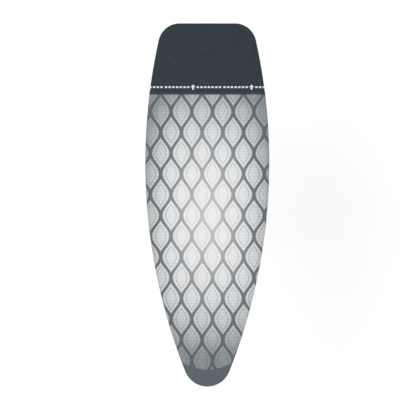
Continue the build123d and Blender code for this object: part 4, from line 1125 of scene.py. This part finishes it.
lever_coil = worm_mesh(
    "lever_coil",
    [(path, False)],
    SPRING_WIRE / 2,
    zinc,
    "slider",
    sides=SPRING_SIDES,
)
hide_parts("lever_spring")
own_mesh(lever_coil)

# Moulded rings round the foot caps, open at the sole
CAP_RING_RADIUS = 0.0011
CAP_RING_SINK = 0.0003
CAP_RING_STEPS = 40
CAP_RING_FIRST = 0.009
CAP_RING_PITCH = 0.006
CAP_RINGS = 3
CAP_SOLE_ANGLE = math.radians(50)
for leg in ("outer", "inner"):
    rings = []
    for side, sign in (("left", -1), ("right", 1)):
        low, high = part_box(f"{leg}_foot_cap_{side}")
        cap_radius = (high.y - low.y) / 2
        reach = cap_radius - CAP_RING_SINK
        inner_x = min(abs(low.x), abs(high.x))
        for ring in range(CAP_RINGS):
            x = sign * (inner_x + CAP_RING_FIRST + CAP_RING_PITCH * ring)
            spot = Vector((x, (low.y + high.y) / 2, high.z - cap_radius))
            path = []
            for step in range(CAP_RING_STEPS + 1):
                turned = (math.pi + 2 * CAP_SOLE_ANGLE) * step / CAP_RING_STEPS
                angle = -CAP_SOLE_ANGLE + turned
                path.append(spot + Vector((0, reach * math.cos(angle), reach * math.sin(angle))))
            rings.append((path, False))
    worm_mesh(
        f"{leg}_cap_rings", rings, CAP_RING_RADIUS, dark_plastic, f"{leg}_leg"
    )

# Floor, world and lamps: a plain pale studio
FLOOR_HALF = 30.0
FLOOR_COLOUR = (0.80, 0.80, 0.80, 1.0)
FLOOR_ROUGHNESS = 0.9
FLOOR_WHITE = 0.36
FLOOR_FAR_WHITE = 1.0
FLOOR_NEAR = 1.6
FLOOR_FAR = 4.5
WORLD_LIGHT = 0.50
WHITE = (1.0, 1.0, 1.0, 1.0)


def background_share(tree):
    """1 for what the camera, a reflection or clear glass shows, and 0 for light on the object."""
    path = tree.nodes.new("ShaderNodeLightPath")
    share = Calc(tree, path.outputs["Is Camera Ray"])
    share = share.run("MAXIMUM", Calc(tree, path.outputs["Is Glossy Ray"]))
    return share.run("MAXIMUM", Calc(tree, path.outputs["Is Transmission Ray"]))


floor_mesh = bpy.data.meshes.new("floor")
floor_corners = [
    (x * FLOOR_HALF, y * FLOOR_HALF, 0) for x, y in ((-1, -1), (1, -1), (1, 1), (-1, 1))
]
floor_mesh.from_pydata(floor_corners, [], [(0, 1, 2, 3)])
floor = bpy.data.objects.new("floor", floor_mesh)
scene.collection.objects.link(floor)
floor_material = bpy.data.materials.new("pale_floor")
floor_material.use_nodes = True
tree = floor_material.node_tree
shader = tree.nodes["Principled BSDF"]
shader.inputs["Base Color"].default_value = FLOOR_COLOUR
shader.inputs["Roughness"].default_value = FLOOR_ROUGHNESS
shader.inputs["Emission Color"].default_value = WHITE
floor_place = tree.nodes.new("ShaderNodeTexCoord").outputs["Object"]
from_middle = tree.nodes.new("ShaderNodeVectorMath")
from_middle.operation = "LENGTH"
tree.links.new(floor_place, from_middle.inputs[0])
far = Calc(tree, from_middle.outputs["Value"]).ramp(FLOOR_NEAR, FLOOR_FAR)
floor_glow = far * (FLOOR_FAR_WHITE - FLOOR_WHITE) + FLOOR_WHITE
glow_shown = background_share(tree) * floor_glow
tree.links.new(glow_shown.socket, shader.inputs["Emission Strength"])
floor_mesh.materials.append(floor_material)

world = bpy.data.worlds.new("studio")
world.use_nodes = True
scene.world = world
tree = world.node_tree
background = tree.nodes["Background"]
background.inputs["Color"].default_value = WHITE
strength = background_share(tree) * (1 - WORLD_LIGHT) + WORLD_LIGHT
tree.links.new(strength.socket, background.inputs["Strength"])


def lamp(name, place, aim, size, power):
    """A soft square lamp that looks at a point."""
    data = bpy.data.lights.new(name, "AREA")
    data.size = size
    data.energy = power
    made = bpy.data.objects.new(name, data)
    made.location = place
    made.rotation_euler = (Vector(aim) - Vector(place)).to_track_quat("-Z", "Y").to_euler()
    scene.collection.objects.link(made)


lamp("key", place=(-2.2, 1.4, 3.6), aim=(0, 0, 0.8), size=2.2, power=56)
lamp("fill", place=(2.6, -0.6, 3.2), aim=(0, 0, 0.7), size=2.6, power=32)
lamp("low", place=(0.4, -3.4, 1.6), aim=(0, 0, 0.5), size=2.0, power=20)
